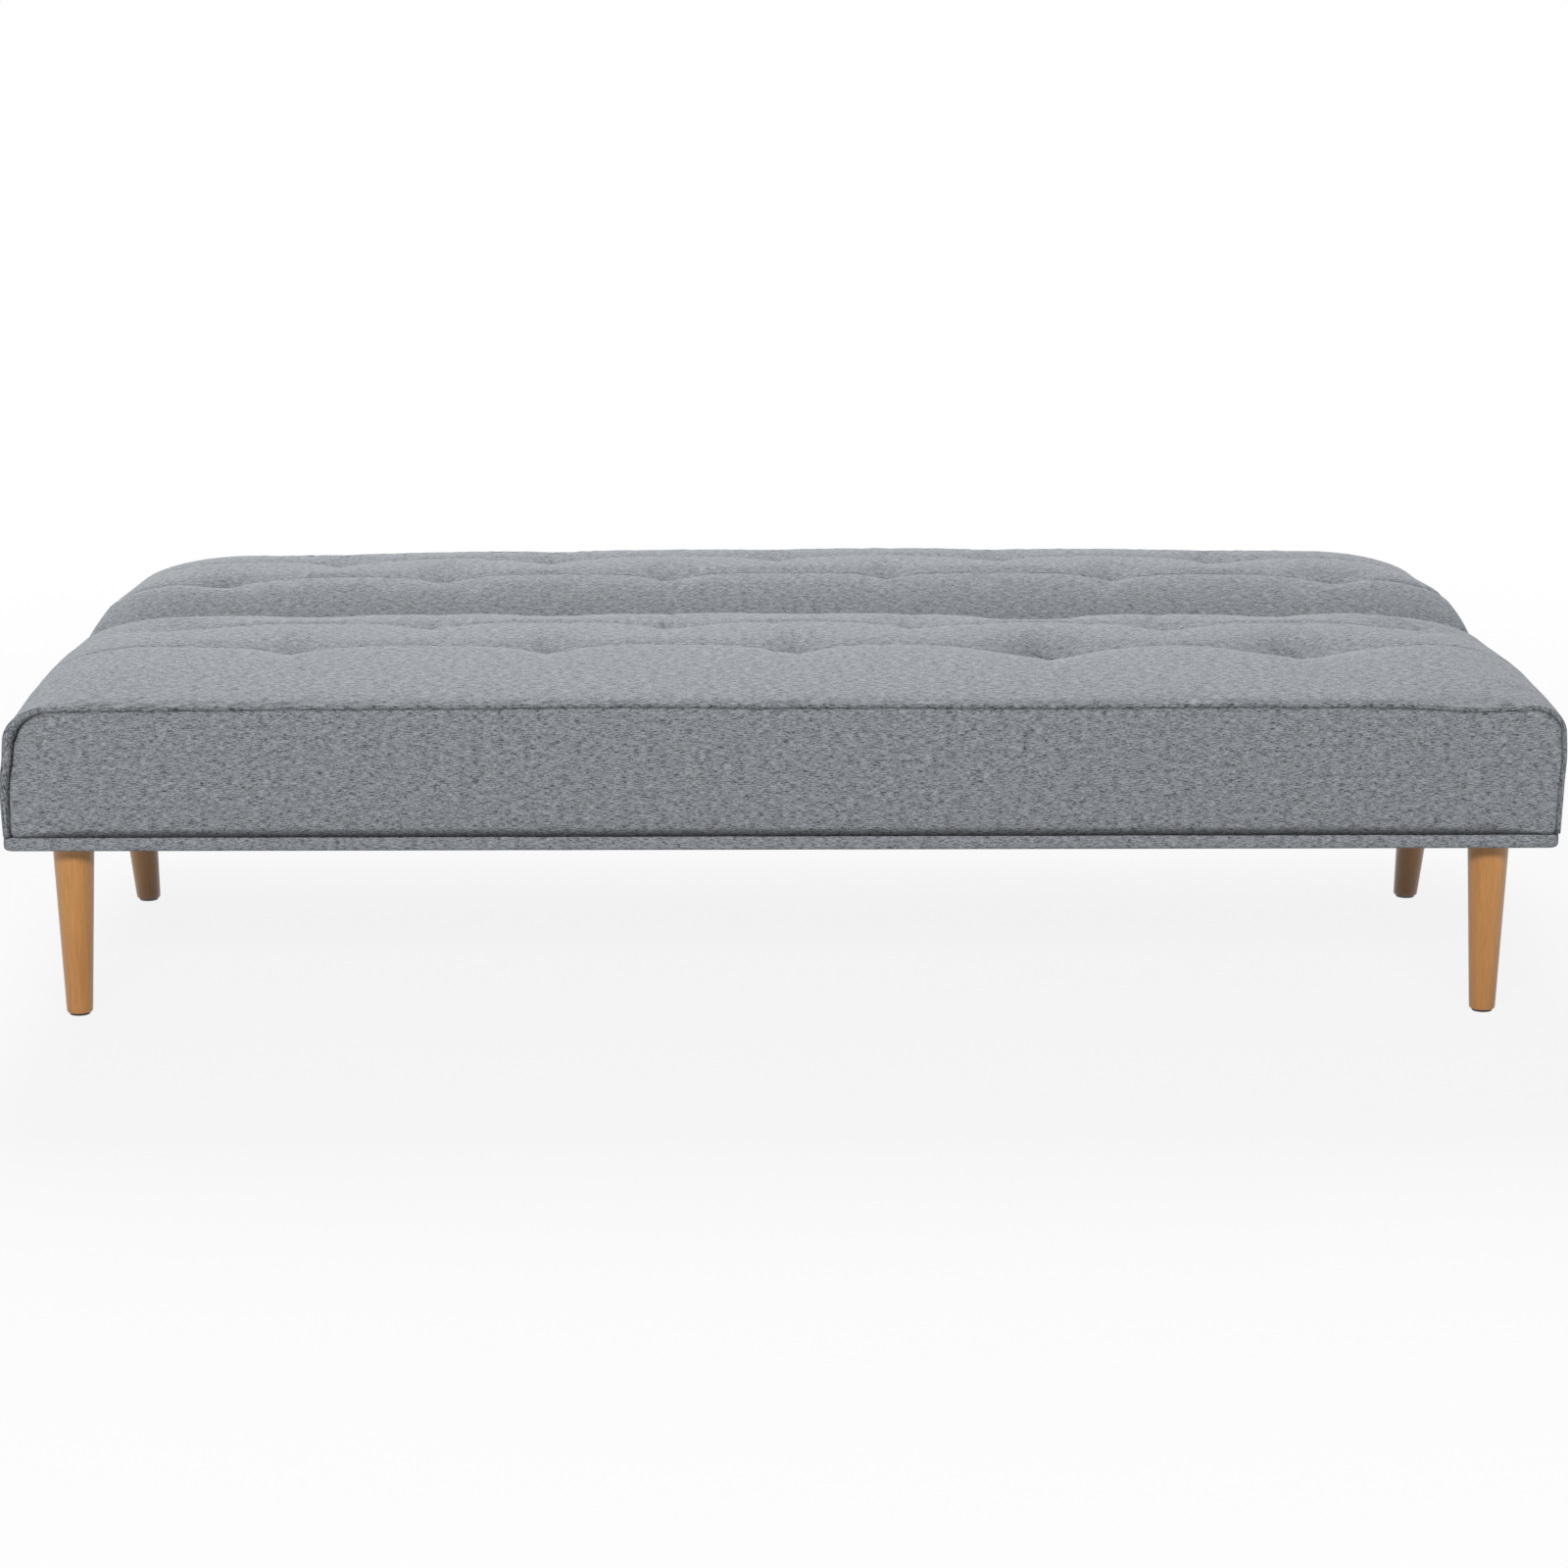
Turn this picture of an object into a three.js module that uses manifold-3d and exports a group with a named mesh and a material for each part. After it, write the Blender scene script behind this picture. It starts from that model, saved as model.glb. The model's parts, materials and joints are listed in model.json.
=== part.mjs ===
// A click clack sofa bed, shown folded flat: a seat unit on four turned legs, and a back unit that
// is joined to it by a ratchet hinge at each end. Millimetres, +Z up, the sitter faces -Y.
// The origin is on the floor, under the middle of the flat bed.
import * as THREE from "three";
import { mergeVertices } from "three/addons/utils/BufferGeometryUtils.js";
import Module from "manifold-3d";

const wasm = await Module();
wasm.setup();

// Overall sizes
const width = 1800;
const seatDepth = 591;
const foldGap = 10; // between the two pads, below the fold axis
const backDepth = 449;
const legHeight = 208; // floor to the underside of the plinth
const plinthHeight = 19;
const boxHeight = 151; // plinth to the top seam of a boxed panel
const crown = 17; // rise of a pad's middle above its seam
const pivotRise = 103; // fold axis above the plinth
const clearance = 0.3; // between pieces that touch
const overrun = 20; // by which a cutting shape passes what it cuts

// Plinth, rails, slats and lining sheets
const plinthInset = 3; // plinth behind the face of the box
const plinthBoard = 31; // plinth batten, front to back
const plinthCorner = 12;
const plinthEdge = 2.5; // rounding of the wrapped batten
const coverWall = 8; // cloth and wadding on the sides
const railThick = 18;
const railHeight = 52;
const bearerWidth = 60;
const slatWidth = 70;
const slatThick = 8;
const slatEdge = 2;
const seatSlats = 5;
const backSlats = 4;
const liningThick = 1;
const outerPanelThick = 2;

// Pad forms
const foamCover = 28; // wadding between the foam's top and the seam's height
const foamChamfer = 26;
const shoulderRadius = 34; // over the ends of a pad
const edgeTuck = 12; // boxed panel narrower than the pad, each end
const edgeRun = 18; // distance over which the edge fills out
const crownRun = 130; // distance over which the crown rises
const seamSag = 3.5; // seam lower at the ends than in the middle
const skirtTuck = 3; // side drawn in where it meets the plinth
const bevelLean = 29; // seat's fold edge, degrees from upright
const backRise = 30; // back's fold edge, degrees from level
const foldRounding = 16;
const tuftPitch = 300;
const tuftMargin = 130; // least distance from a tuft to the pad's end
const tuftDepth = 14;
const tuftReach = 36;
const pullDepth = 8; // pulls along the seat's fold edge
const channelDepth = 3.5;
const channelReach = 13;
const seatRowShares = [0.49, 0.773];
const backRowShares = [0.477, 0.81];
const pullRowShare = 0.945;
const crownFadeShare = 3;
const edgeShares = [0, 0.2, 0.7]; // cross-sections, as shares of the run that each follows
const crownShares = [0.3, 0.65, 1];
const slopeShares = [0, 0.3, 0.6, 0.85, 1.05, 1.4];
const shoulderSteps = 4;
const columnsPerTuft = 8;

// Legs
const legTopRadius = 24.2;
const legFootRadius = 15.2;
const rearLegSplay = 84; // foot behind the top
const legSideSet = 41; // leg centre in from the plinth batten
const legBlock = 90;
const plateSize = 55;
const plateThick = 2.5;
const studRadius = 4;
const studLength = 32;
const nutRadius = 9;
const nutHeight = 8;
const glideRadius = 12.5;
const glideThick = 2.5;
const glideTaper = 0.75;

// Sides of round pieces, and steps along curves
const roundSides = 24;
const smallSides = 16;
const legSides = 32;
const nutSides = 6;
const boltSides = 12;
const plateSteps = 6; // of a round corner
const bandSteps = 5; // of a plinth's corner
const bevelSteps = 2;
const pawlSteps = 6;
const coilSteps = 8; // of one turn of a spring
const wireSteps = 3; // of a quarter of the spring wire

// Ratchet hinges
const armThick = 4;
const armGap = 0.5; // running gap between the two arms
const eyeRadius = 14;
const pinRadius = 6;
const pinHeadRadius = 9;
const pinHeadThick = 2.5;
const toothTipRadius = 32;
const toothRootRadius = 27;
const toothSpan = 22; // degrees between two notches
const notchHalf = 5; // degrees, half the floor of a notch
const landOver = 15; // degrees of plain rim past the pawl, and before the first tooth
const upright = 74; // degrees of recline at the last notch
const notches = 3;
const reclineEnd = 84; // degrees, the over-travel that frees the pawls
const pawlBearing = -78; // degrees about the fold axis, the pawl's nose when flat
const pawlNoseHalf = 3; // degrees
const pawlSwing = 12; // degrees from the teeth to the lifted place
const pawlPivotRadius = 48; // from the fold axis
const pawlPivotBearing = -35; // degrees about the fold axis
const pawlEyeRadius = 8;
const pawlInnerRadius = 33.5; // concave side of the pawl
const pawlOuterRadius = 39.5;
const stubRadius = 4;
const springRadius = 6.6;
const springWire = 1.2;
const springTurns = 3;
const springPitchShare = 1.5; // of the wire's thickness
const armNeck = 11; // half the width of an arm's neck
const armKnee = [62, -66]; // middle of the neck's lower bend, from the fold axis
const armPlateStart = 46;
const armPlateLength = 104;
const armPlateInset = 3; // from the rail's edges
const armCorner = 8;
const armBolts = 3;
const boltHeadRadius = 6;
const boltHeadHeight = 3;

// Places worked out from the sizes
const depth = seatDepth + foldGap + backDepth;
const halfWidth = width / 2;
const seatFrontY = -depth / 2;
const seatRearY = seatFrontY + seatDepth;
const backNearY = seatRearY + foldGap;
const backFarY = backNearY + backDepth;
const underZ = legHeight;
const plinthTopZ = underZ + plinthHeight;
const boxZ = plinthTopZ + clearance;
const seamZ = plinthTopZ + boxHeight;
const pivotY = seatRearY + foldGap / 2;
const pivotZ = plinthTopZ + pivotRise;
const railTopZ = boxZ + railHeight;
const slatTopZ = boxZ + slatThick;
const foamTopZ = seamZ - foamCover;
const plinthReach = plinthInset + plinthBoard;
const railInset = coverWall + railThick;
const sideRailX = halfWidth - railInset;
const seatArmX = sideRailX - clearance - armThick; // inboard face of the seat's arm
const backArmX = seatArmX - armGap - armThick; // inboard face of the back's arm
const backRailThick = railThick + armThick + armGap;
const pawlPivot = polar(pawlPivotRadius, pawlPivotBearing);

// Materials
const cloth = { color: 0x8b9199, roughness: 0.95, metalness: 0 };
const bandCloth = { color: 0x858a92, roughness: 0.95, metalness: 0 };
const foam = { color: 0xe9dfb8, roughness: 0.9, metalness: 0 };
const pine = { color: 0xd9b984, roughness: 0.7, metalness: 0 };
const beech = { color: 0xc18f57, roughness: 0.45, metalness: 0 };
const lining = { color: 0x26272a, roughness: 0.95, metalness: 0 };
const zinc = { color: 0x9ea2a6, roughness: 0.4, metalness: 0.9 };
const blackSteel = { color: 0x2b2d30, roughness: 0.5, metalness: 0.6 };
const felt = { color: 0x3a3531, roughness: 0.95, metalness: 0 };

// A point at a radius and a bearing in degrees, as [y, z] about the fold axis.
function polar(radius, bearing) {
  const turn = THREE.MathUtils.degToRad(bearing);
  return [radius * Math.cos(turn), radius * Math.sin(turn)];
}

// A closed geometry as a solid that can be joined and cut.
function solid(geometry) {
  const bare = geometry.clone();
  bare.deleteAttribute("normal");
  bare.deleteAttribute("uv");
  const merged = mergeVertices(bare);
  return new wasm.Manifold(
    new wasm.Mesh({
      numProp: 3,
      vertProperties: new Float32Array(merged.attributes.position.array),
      triVerts: new Uint32Array(merged.index.array),
    }),
  );
}

// A solid's surface as a geometry.
function surface(manifold) {
  const mesh = manifold.getMesh();
  const geometry = new THREE.BufferGeometry();
  geometry.setAttribute("position", new THREE.BufferAttribute(mesh.vertProperties, 3));
  geometry.setIndex(new THREE.BufferAttribute(mesh.triVerts, 1));
  geometry.computeVertexNormals();
  return geometry;
}

const joined = (...pieces) => pieces.reduce((whole, piece) => whole.add(piece));
const cut = (whole, ...tools) => tools.reduce((left, tool) => left.subtract(tool), whole);

// A box between two corners.
function block(low, high) {
  const size = high.map((value, i) => value - low[i]);
  const middle = high.map((value, i) => (value + low[i]) / 2);
  return new THREE.BoxGeometry(...size).translate(...middle);
}

// A shape through points, in the order given.
const outline = (points) => new THREE.Shape(points.map(([a, b]) => new THREE.Vector2(a, b)));

// An outline drawn in y and z, carried along x.
function alongX(shape, fromX, toX, settings = {}) {
  const bar = new THREE.ExtrudeGeometry(shape, { depth: toX - fromX, bevelEnabled: false, ...settings });
  const turn = new THREE.Matrix4().makeBasis(
    new THREE.Vector3(0, 1, 0),
    new THREE.Vector3(0, 0, 1),
    new THREE.Vector3(1, 0, 0),
  );
  return bar.applyMatrix4(turn).translate(fromX, 0, 0);
}

// An outline drawn in x and z, carried along y.
function alongY(shape, fromY, toY) {
  const bar = new THREE.ExtrudeGeometry(shape, { depth: toY - fromY, bevelEnabled: false });
  return bar.rotateX(Math.PI / 2).translate(0, toY, 0);
}

// A round bar along x, about a point in y and z.
function rodX(radius, [y, z], fromX, toX, sides = roundSides) {
  const rod = new THREE.CylinderGeometry(radius, radius, toX - fromX, sides);
  return rod.rotateZ(Math.PI / 2).translate((fromX + toX) / 2, y, z);
}

// A batten along x with its long edges rounded by one facet.
function batten([x, y, z], [length, across, height], edge) {
  const shape = outline([
    [y, z],
    [y + across - 2 * edge, z],
    [y + across - 2 * edge, z + height - 2 * edge],
    [y, z + height - 2 * edge],
  ]);
  const bevel = { bevelEnabled: true, bevelSize: edge, bevelThickness: edge };
  const settings = { ...bevel, bevelSegments: bevelSteps };
  return alongX(shape, x + edge, x + length - edge, settings).translate(0, edge, edge);
}

// The group that holds every piece
const sofaBed = new THREE.Group();
function add(name, geometry, look) {
  const mesh = new THREE.Mesh(geometry, new THREE.MeshStandardMaterial(look));
  mesh.name = name;
  sofaBed.add(mesh);
  return mesh;
}

// Pads: each is lofted through cross-sections from front to rear
const smoothMin = (a, b, blend) => {
  const near = Math.max(blend - Math.abs(a - b), 0) / blend;
  return Math.min(a, b) - (near * near * blend) / 4;
};
const dip = (distance, reach) => Math.exp(-((distance / reach) ** 2));

// Tuft places along one row: even rows have one in the middle, odd rows are set half a pitch over.
function tuftPlaces(odd) {
  const places = [];
  const most = halfWidth - tuftMargin;
  for (let x = odd ? tuftPitch / 2 : 0; x <= most; x += tuftPitch) {
    places.push(x);
    if (x > 0) places.push(-x);
  }
  return places;
}

// The crown's share of its full rise, at a distance in from a boxed panel.
const crownShare = (distance) => 1 - Math.max(1 - distance / crownRun, 0) ** 2;

// Height of a pad's top at a place. The fold side is held under its sloping edge.
function padTop(pad, x, y) {
  const fade = 1 - Math.abs(x / halfWidth) ** crownFadeShare;
  let z = seamZ - seamSag * (x / halfWidth) ** 2;
  z += crown * fade * crownShare(Math.abs(y - pad.boxedY));
  for (const row of pad.rows) {
    z -= channelDepth * dip(y - row.y, channelReach);
    for (const place of row.places)
      z -= row.depth * dip(Math.hypot(x - place, y - row.y), tuftReach);
  }
  const foldEdge = pivotZ + Math.abs(y - pad.foldY) * pad.foldSlope;
  return smoothMin(z, foldEdge, foldRounding);
}

// One cross-section of a pad in x and z, counter-clockwise seen from the front.
function padSection(pad, y) {
  const fromEdge = Math.min(Math.abs(y - pad.boxedY), Math.abs(y - pad.foldY));
  const tuck = edgeTuck * Math.max(1 - fromEdge / edgeRun, 0) ** 2;
  const half = halfWidth - tuck;
  const shoulderX = half - shoulderRadius;
  const shoulderZ = padTop(pad, shoulderX, y) - shoulderRadius;
  const side = [[half - skirtTuck, boxZ]];
  side.push([half, (boxZ + shoulderZ) / 2]);
  for (let i = 0; i < shoulderSteps; i++) {
    const [over, up] = polar(shoulderRadius, (90 * i) / shoulderSteps);
    side.push([shoulderX + over, shoulderZ + up]);
  }
  const columnPitch = tuftPitch / columnsPerTuft;
  const columns = Math.floor((halfWidth - edgeTuck - shoulderRadius) / columnPitch);
  const top = [[shoulderX, padTop(pad, shoulderX, y)]];
  for (let i = columns; i >= -columns; i--)
    top.push([i * columnPitch, padTop(pad, i * columnPitch, y)]);
  top.push([-shoulderX, padTop(pad, shoulderX, y)]);
  const left = side.map(([x, z]) => [-x, z]).reverse();
  return [...side, ...top, ...left];
}

// Cross-section places: close together at both edges and round each tuft row.
function padStations(pad) {
  const inward = Math.sign(pad.foldY - pad.boxedY);
  const places = edgeShares.map((share) => pad.boxedY + inward * share * edgeRun);
  places.push(...crownShares.map((share) => pad.boxedY + inward * share * crownRun));
  const slopeRun = (seamZ + crown - pivotZ) / pad.foldSlope;
  places.push(...slopeShares.map((share) => pad.foldY - inward * share * slopeRun));
  for (const row of pad.rows.filter((one) => one.depth === tuftDepth))
    places.push(row.y - channelReach, row.y, row.y + channelReach);
  const middle = pad.rows.slice(0, 2).reduce((sum, row) => sum + row.y / 2, 0);
  places.push(middle);
  return places
    .sort((a, b) => a - b)
    .filter((y, i, all) => i === 0 || y - all[i - 1] > clearance);
}

// A closed surface through the cross-sections, with a flat cap at each end.
function loft(pad) {
  const stations = padStations(pad);
  const sections = stations.map((y) => padSection(pad, y));
  const count = sections[0].length;
  const positions = sections.flatMap((points, s) => points.flatMap(([x, z]) => [x, stations[s], z]));
  const faces = [];
  for (let s = 0; s + 1 < stations.length; s++)
    for (let i = 0; i < count; i++) {
      const a = s * count + i;
      const b = s * count + ((i + 1) % count);
      faces.push(a, b + count, b, a, a + count, b + count);
    }
  for (const s of [0, stations.length - 1]) {
    const ring = sections[s].map(([x, z]) => new THREE.Vector2(x, z));
    for (const [a, b, c] of THREE.ShapeUtils.triangulateShape(ring, [])) {
      const at = s * count;
      if (s === 0) faces.push(at + a, at + b, at + c);
      else faces.push(at + a, at + c, at + b);
    }
  }
  const geometry = new THREE.BufferGeometry();
  geometry.setAttribute("position", new THREE.Float32BufferAttribute(positions, 3));
  geometry.setIndex(faces);
  return geometry;
}

// The foam's outline in y and z: between the rails below, over them above, sloping at the fold.
function foamOutline(pad, grow, bottomZ) {
  const inward = Math.sign(pad.foldY - pad.boxedY);
  const boxed = pad.boxedY + inward * (coverWall + clearance - grow);
  const fold = pad.foldY - inward * (coverWall + clearance - grow);
  const slopeStartZ = pivotZ - (pad.foldSlope < 1 ? coverWall : 0);
  const top = foamTopZ + grow;
  const slopeEnd = fold - (inward * (top - slopeStartZ)) / pad.foldSlope;
  const upper = [
    [fold, slopeStartZ],
    [slopeEnd, top],
    [boxed + inward * foamChamfer, top],
    [boxed, top - foamChamfer / 2],
  ];
  if (grow > 0) return outline([[boxed, bottomZ], [fold, bottomZ], ...upper]);
  const step = railTopZ + clearance;
  return outline([
    [boxed + inward * railThick, bottomZ],
    [fold - inward * railThick, bottomZ],
    [fold - inward * railThick, step],
    [fold, step],
    ...upper,
    [boxed, step],
    [boxed + inward * railThick, step],
  ]);
}

// The foam's outline in x and z, chamfered under the pad's shoulders.
function foamAcross(pad, grow, bottomZ) {
  const half = halfWidth - coverWall - clearance + grow;
  const top = foamTopZ + grow;
  const lowHalf = grow > 0 ? half : half - pad.sideRail;
  const step = railTopZ + clearance;
  const right = [
    [lowHalf, bottomZ],
    [lowHalf, step],
    [half, step],
    [half, top - foamChamfer],
    [half - foamChamfer, top],
  ];
  if (grow > 0) right.splice(1, 2);
  return outline([...right, ...right.map(([x, z]) => [-x, z]).reverse()]);
}

function foamSolid(pad, grow, bottomZ) {
  const along = solid(alongX(foamOutline(pad, grow, bottomZ), -width / 2, width / 2));
  const across = solid(alongY(foamAcross(pad, grow, bottomZ), seatFrontY, backFarY));
  return along.intersect(across);
}

const rowsOf = (nearY, padDepth, shares, odd) =>
  shares.map((share, i) => ({
    y: nearY + share * padDepth,
    places: tuftPlaces(odd[i]),
    depth: tuftDepth,
  }));
const seatPad = {
  boxedY: seatFrontY,
  foldY: seatRearY,
  foldSlope: 1 / Math.tan(THREE.MathUtils.degToRad(bevelLean)),
  sideRail: railThick,
  rows: rowsOf(seatFrontY, seatDepth, seatRowShares, [false, true]),
};
seatPad.rows.push({
  y: seatFrontY + pullRowShare * seatDepth,
  places: tuftPlaces(false),
  depth: pullDepth,
});
const backPad = {
  boxedY: backFarY,
  foldY: backNearY,
  foldSlope: Math.tan(THREE.MathUtils.degToRad(backRise)),
  sideRail: backRailThick,
  rows: rowsOf(backNearY, backDepth, backRowShares, [true, false]),
};

// Ratchet hinge: outlines about the fold axis in y and z, then carried along x
const aboutPivot = ([y, z]) => [pivotY + y, pivotZ + z];

// The outline round two circles and the tangents between them.
function link([y0, z0], r0, [y1, z1], r1) {
  const bearing = Math.atan2(z1 - z0, y1 - y0);
  const open = Math.acos((r0 - r1) / Math.hypot(y1 - y0, z1 - z0));
  const shape = new THREE.Shape();
  shape.absarc(y0, z0, r0, bearing + open, bearing - open + 2 * Math.PI, false);
  shape.absarc(y1, z1, r1, bearing - open, bearing + open, false);
  return shape;
}

// A plate with round corners.
function roundPlate([y0, z0], [y1, z1], radius) {
  const shape = new THREE.Shape();
  shape.absarc(y1 - radius, z1 - radius, radius, 0, Math.PI / 2, false);
  shape.absarc(y0 + radius, z1 - radius, radius, Math.PI / 2, Math.PI, false);
  shape.absarc(y0 + radius, z0 + radius, radius, Math.PI, 1.5 * Math.PI, false);
  shape.absarc(y1 - radius, z0 + radius, radius, 1.5 * Math.PI, 2 * Math.PI, false);
  return shape;
}

const curve = { curveSegments: plateSteps };

// An arm's body: neck from the eye over the end rail, knee, and the plate on the side rail.
// side is -1 for the seat's arm and 1 for the back's.
function armBody(side, grow, fromX, toX) {
  const mirrored = ([y, z]) => aboutPivot([side * y, z]);
  const shoulder = mirrored(pawlPivot);
  const knee = mirrored(armKnee);
  const ends = [armPlateStart, armPlateStart + armPlateLength].map((y) => pivotY + side * y);
  const low = [Math.min(...ends) - grow, boxZ + armPlateInset - grow];
  const high = [Math.max(...ends) + grow, railTopZ - armPlateInset + grow];
  const parts = [
    link(aboutPivot([0, 0]), eyeRadius + grow, shoulder, armNeck + grow),
    link(shoulder, armNeck + grow, knee, armNeck + grow),
    roundPlate(low, high, armCorner),
  ];
  return joined(...parts.map((shape) => solid(alongX(shape, fromX, toX, curve))));
}

// Domed bolt heads along an arm's plate.
function armBoltHeads(side, faceX, outX) {
  const heads = [];
  for (let i = 0; i < armBolts; i++) {
    const along = armPlateStart + (armPlateLength * (i + 0.5)) / armBolts;
    const middle = [pivotY + side * along, (boxZ + railTopZ) / 2];
    const head = new THREE.CylinderGeometry(boltHeadRadius / 2, boltHeadRadius, boltHeadHeight, boltSides);
    head.rotateZ((Math.sign(outX - faceX) * -Math.PI) / 2);
    heads.push(solid(head.translate((faceX + outX) / 2, ...middle)));
  }
  return heads;
}

// The toothed rim: a low land for the flat place, sawtooth notches, and a low land at the end.
function ratchetRim() {
  const firstNotch = pawlBearing + upright - (notches - 1) * toothSpan;
  const lastNotch = firstNotch + (notches - 1) * toothSpan;
  const landEnd = pawlBearing + reclineEnd + landOver;
  const points = [[0, 0]];
  for (let at = pawlBearing - landOver; at <= firstNotch - landOver; at += notchHalf)
    points.push(polar(toothRootRadius, at));
  for (let i = 0; i < notches; i++) {
    const middle = firstNotch + i * toothSpan;
    points.push(polar(toothTipRadius, middle - notchHalf));
    points.push(polar(toothRootRadius, middle - notchHalf));
    points.push(polar(toothRootRadius, middle + notchHalf));
  }
  for (let at = lastNotch + 2 * notchHalf; at <= landEnd; at += notchHalf)
    points.push(polar(toothRootRadius, at));
  return outline(points.map(aboutPivot));
}

// The pawl with its nose in a notch: a hook that lies round the rim.
function pawlOutline() {
  const nose = [
    polar(toothRootRadius + armGap, pawlBearing - pawlNoseHalf),
    polar(toothRootRadius + armGap, pawlBearing + pawlNoseHalf),
  ];
  const inner = [];
  const outer = [];
  const innerFrom = pawlBearing + 2 * pawlNoseHalf;
  const outerFrom = pawlBearing - 2 * pawlNoseHalf;
  for (let i = 0; i <= pawlSteps; i++) {
    inner.push(polar(pawlInnerRadius, innerFrom + ((pawlPivotBearing - innerFrom) * i) / pawlSteps));
    outer.unshift(polar(pawlOuterRadius, outerFrom + ((pawlPivotBearing - outerFrom) * i) / pawlSteps));
  }
  inner.pop();
  outer.shift();
  return outline([...nose, ...inner, pawlPivot, ...outer].map(aboutPivot));
}

function pawlSolid(fromX, toX) {
  const pivot = aboutPivot(pawlPivot);
  const body = joined(
    solid(alongX(pawlOutline(), fromX, toX)),
    solid(rodX(pawlEyeRadius, pivot, fromX, toX)),
  );
  const bored = cut(body, solid(rodX(stubRadius + clearance, pivot, fromX - overrun, toX + overrun)));
  const lift = new THREE.Matrix4()
    .makeTranslation(0, ...pivot)
    .multiply(new THREE.Matrix4().makeRotationX(THREE.MathUtils.degToRad(pawlSwing)))
    .multiply(new THREE.Matrix4().makeTranslation(0, -pivot[0], -pivot[1]));
  return surface(bored).applyMatrix4(lift);
}

// A torsion spring round the pawl's stub: an unbroken helix of round wire.
class SpringCurve extends THREE.Curve {
  constructor(centre, fromX, toX) {
    super();
    this.centre = centre;
    this.fromX = fromX;
    this.toX = toX;
  }
  getPoint(t, target = new THREE.Vector3()) {
    const turn = 2 * Math.PI * springTurns * t;
    return target.set(
      THREE.MathUtils.lerp(this.fromX, this.toX, t),
      this.centre[0] + springRadius * Math.cos(turn),
      this.centre[1] + springRadius * Math.sin(turn),
    );
  }
}

function springCoil(fromX, toX) {
  const path = new SpringCurve(aboutPivot(pawlPivot), fromX, toX);
  const wire = new THREE.Shape();
  wire.absarc(0, 0, springWire / 2, 0, 2 * Math.PI, false);
  return new THREE.ExtrudeGeometry(wire, {
    steps: springTurns * coilSteps,
    extrudePath: path,
    curveSegments: wireSteps,
    bevelEnabled: false,
  });
}

// Both hinges. Shapes are worked out at the right end; the left one has the x range mirrored.
const springSpan = springTurns * springWire * springPitchShare;
const stubEndX = seatArmX + armThick + springSpan + 2 * springWire + pinHeadThick;
const hingeEnds = { left: -1, right: 1 };
const mirrorX = (end, a, b) => (end > 0 ? [a, b] : [-b, -a]);

for (const [name, end] of Object.entries(hingeEnds)) {
  const seatArmSpan = mirrorX(end, seatArmX, seatArmX + armThick);
  const backArmSpan = mirrorX(end, backArmX, backArmX + armThick);
  const axis = aboutPivot([0, 0]);
  const pinHole = (radius) => solid(rodX(radius, axis, -width, width));

  const seatArm = joined(
    armBody(-1, 0, ...seatArmSpan),
    solid(alongX(ratchetRim(), ...seatArmSpan)),
    ...armBoltHeads(-1, end * seatArmX, end * (seatArmX - boltHeadHeight)),
  );
  add(`hinge_seat_arm_${name}`, surface(cut(seatArm, pinHole(pinRadius + clearance))), zinc);

  const stub = aboutPivot(pawlPivot);
  const backArm = joined(
    armBody(1, 0, ...backArmSpan),
    ...armBoltHeads(1, end * backArmX, end * (backArmX - boltHeadHeight)),
    solid(rodX(stubRadius, stub, ...mirrorX(end, backArmX, stubEndX), smallSides)),
    solid(rodX(pawlEyeRadius, stub, ...mirrorX(end, stubEndX - pinHeadThick, stubEndX), smallSides)),
  );
  add(`hinge_back_arm_${name}`, surface(cut(backArm, pinHole(pinRadius + clearance))), zinc);

  const pinEnds = [backArmX - armGap, seatArmX + armThick + armGap];
  const pin = joined(
    solid(rodX(pinRadius, axis, ...mirrorX(end, pinEnds[0] - pinHeadThick, pinEnds[1] + pinHeadThick))),
    solid(rodX(pinHeadRadius, axis, ...mirrorX(end, pinEnds[0] - pinHeadThick, pinEnds[0]))),
    solid(rodX(pinHeadRadius, axis, ...mirrorX(end, pinEnds[1], pinEnds[1] + pinHeadThick))),
  );
  add(`hinge_pin_${name}`, surface(pin), blackSteel);

  add(`pawl_${name}`, pawlSolid(...seatArmSpan), blackSteel);
  const springStart = seatArmX + armThick + springWire;
  add(`pawl_spring_${name}`, springCoil(...mirrorX(end, springStart, springStart + springSpan)), blackSteel);
}

// Room for the hinges in the soft pieces
function hingePockets(side) {
  const tools = [];
  for (const end of Object.values(hingeEnds)) {
    const axis = aboutPivot([0, 0]);
    const reach = pinHeadThick + 2 * armGap;
    const span = mirrorX(end, backArmX - reach, seatArmX + armThick + reach);
    const slot = mirrorX(end, seatArmX - armGap / 2, sideRailX + clearance);
    const armSlot = side < 0 ? slot : mirrorX(end, backArmX - reach, backArmX + armThick + armGap / 2);
    tools.push(solid(rodX(eyeRadius + 2 * armGap, axis, ...span)));
    tools.push(armBody(side, 2 * armGap, ...armSlot));
    if (side < 0) {
      tools.push(armBody(side, 2 * armGap, ...mirrorX(end, backArmX - reach, seatArmX)));
      continue;
    }
    const stub = aboutPivot(pawlPivot);
    const sweep = pawlPivotRadius + pawlEyeRadius;
    tools.push(solid(rodX(toothTipRadius + 2 * armGap, axis, ...slot)));
    const pawlRoom = block(
      [slot[0], pivotY - foldGap, pivotZ - sweep],
      [slot[1], pivotY + sweep, pivotZ - stubRadius],
    );
    tools.push(solid(pawlRoom).intersect(solid(rodX(sweep + 2 * armGap, axis, ...slot))));
    const stubSpan = mirrorX(end, backArmX - reach, stubEndX + armGap);
    tools.push(solid(rodX(pawlEyeRadius + 2 * armGap, stub, ...stubSpan)));
  }
  return tools;
}

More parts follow.
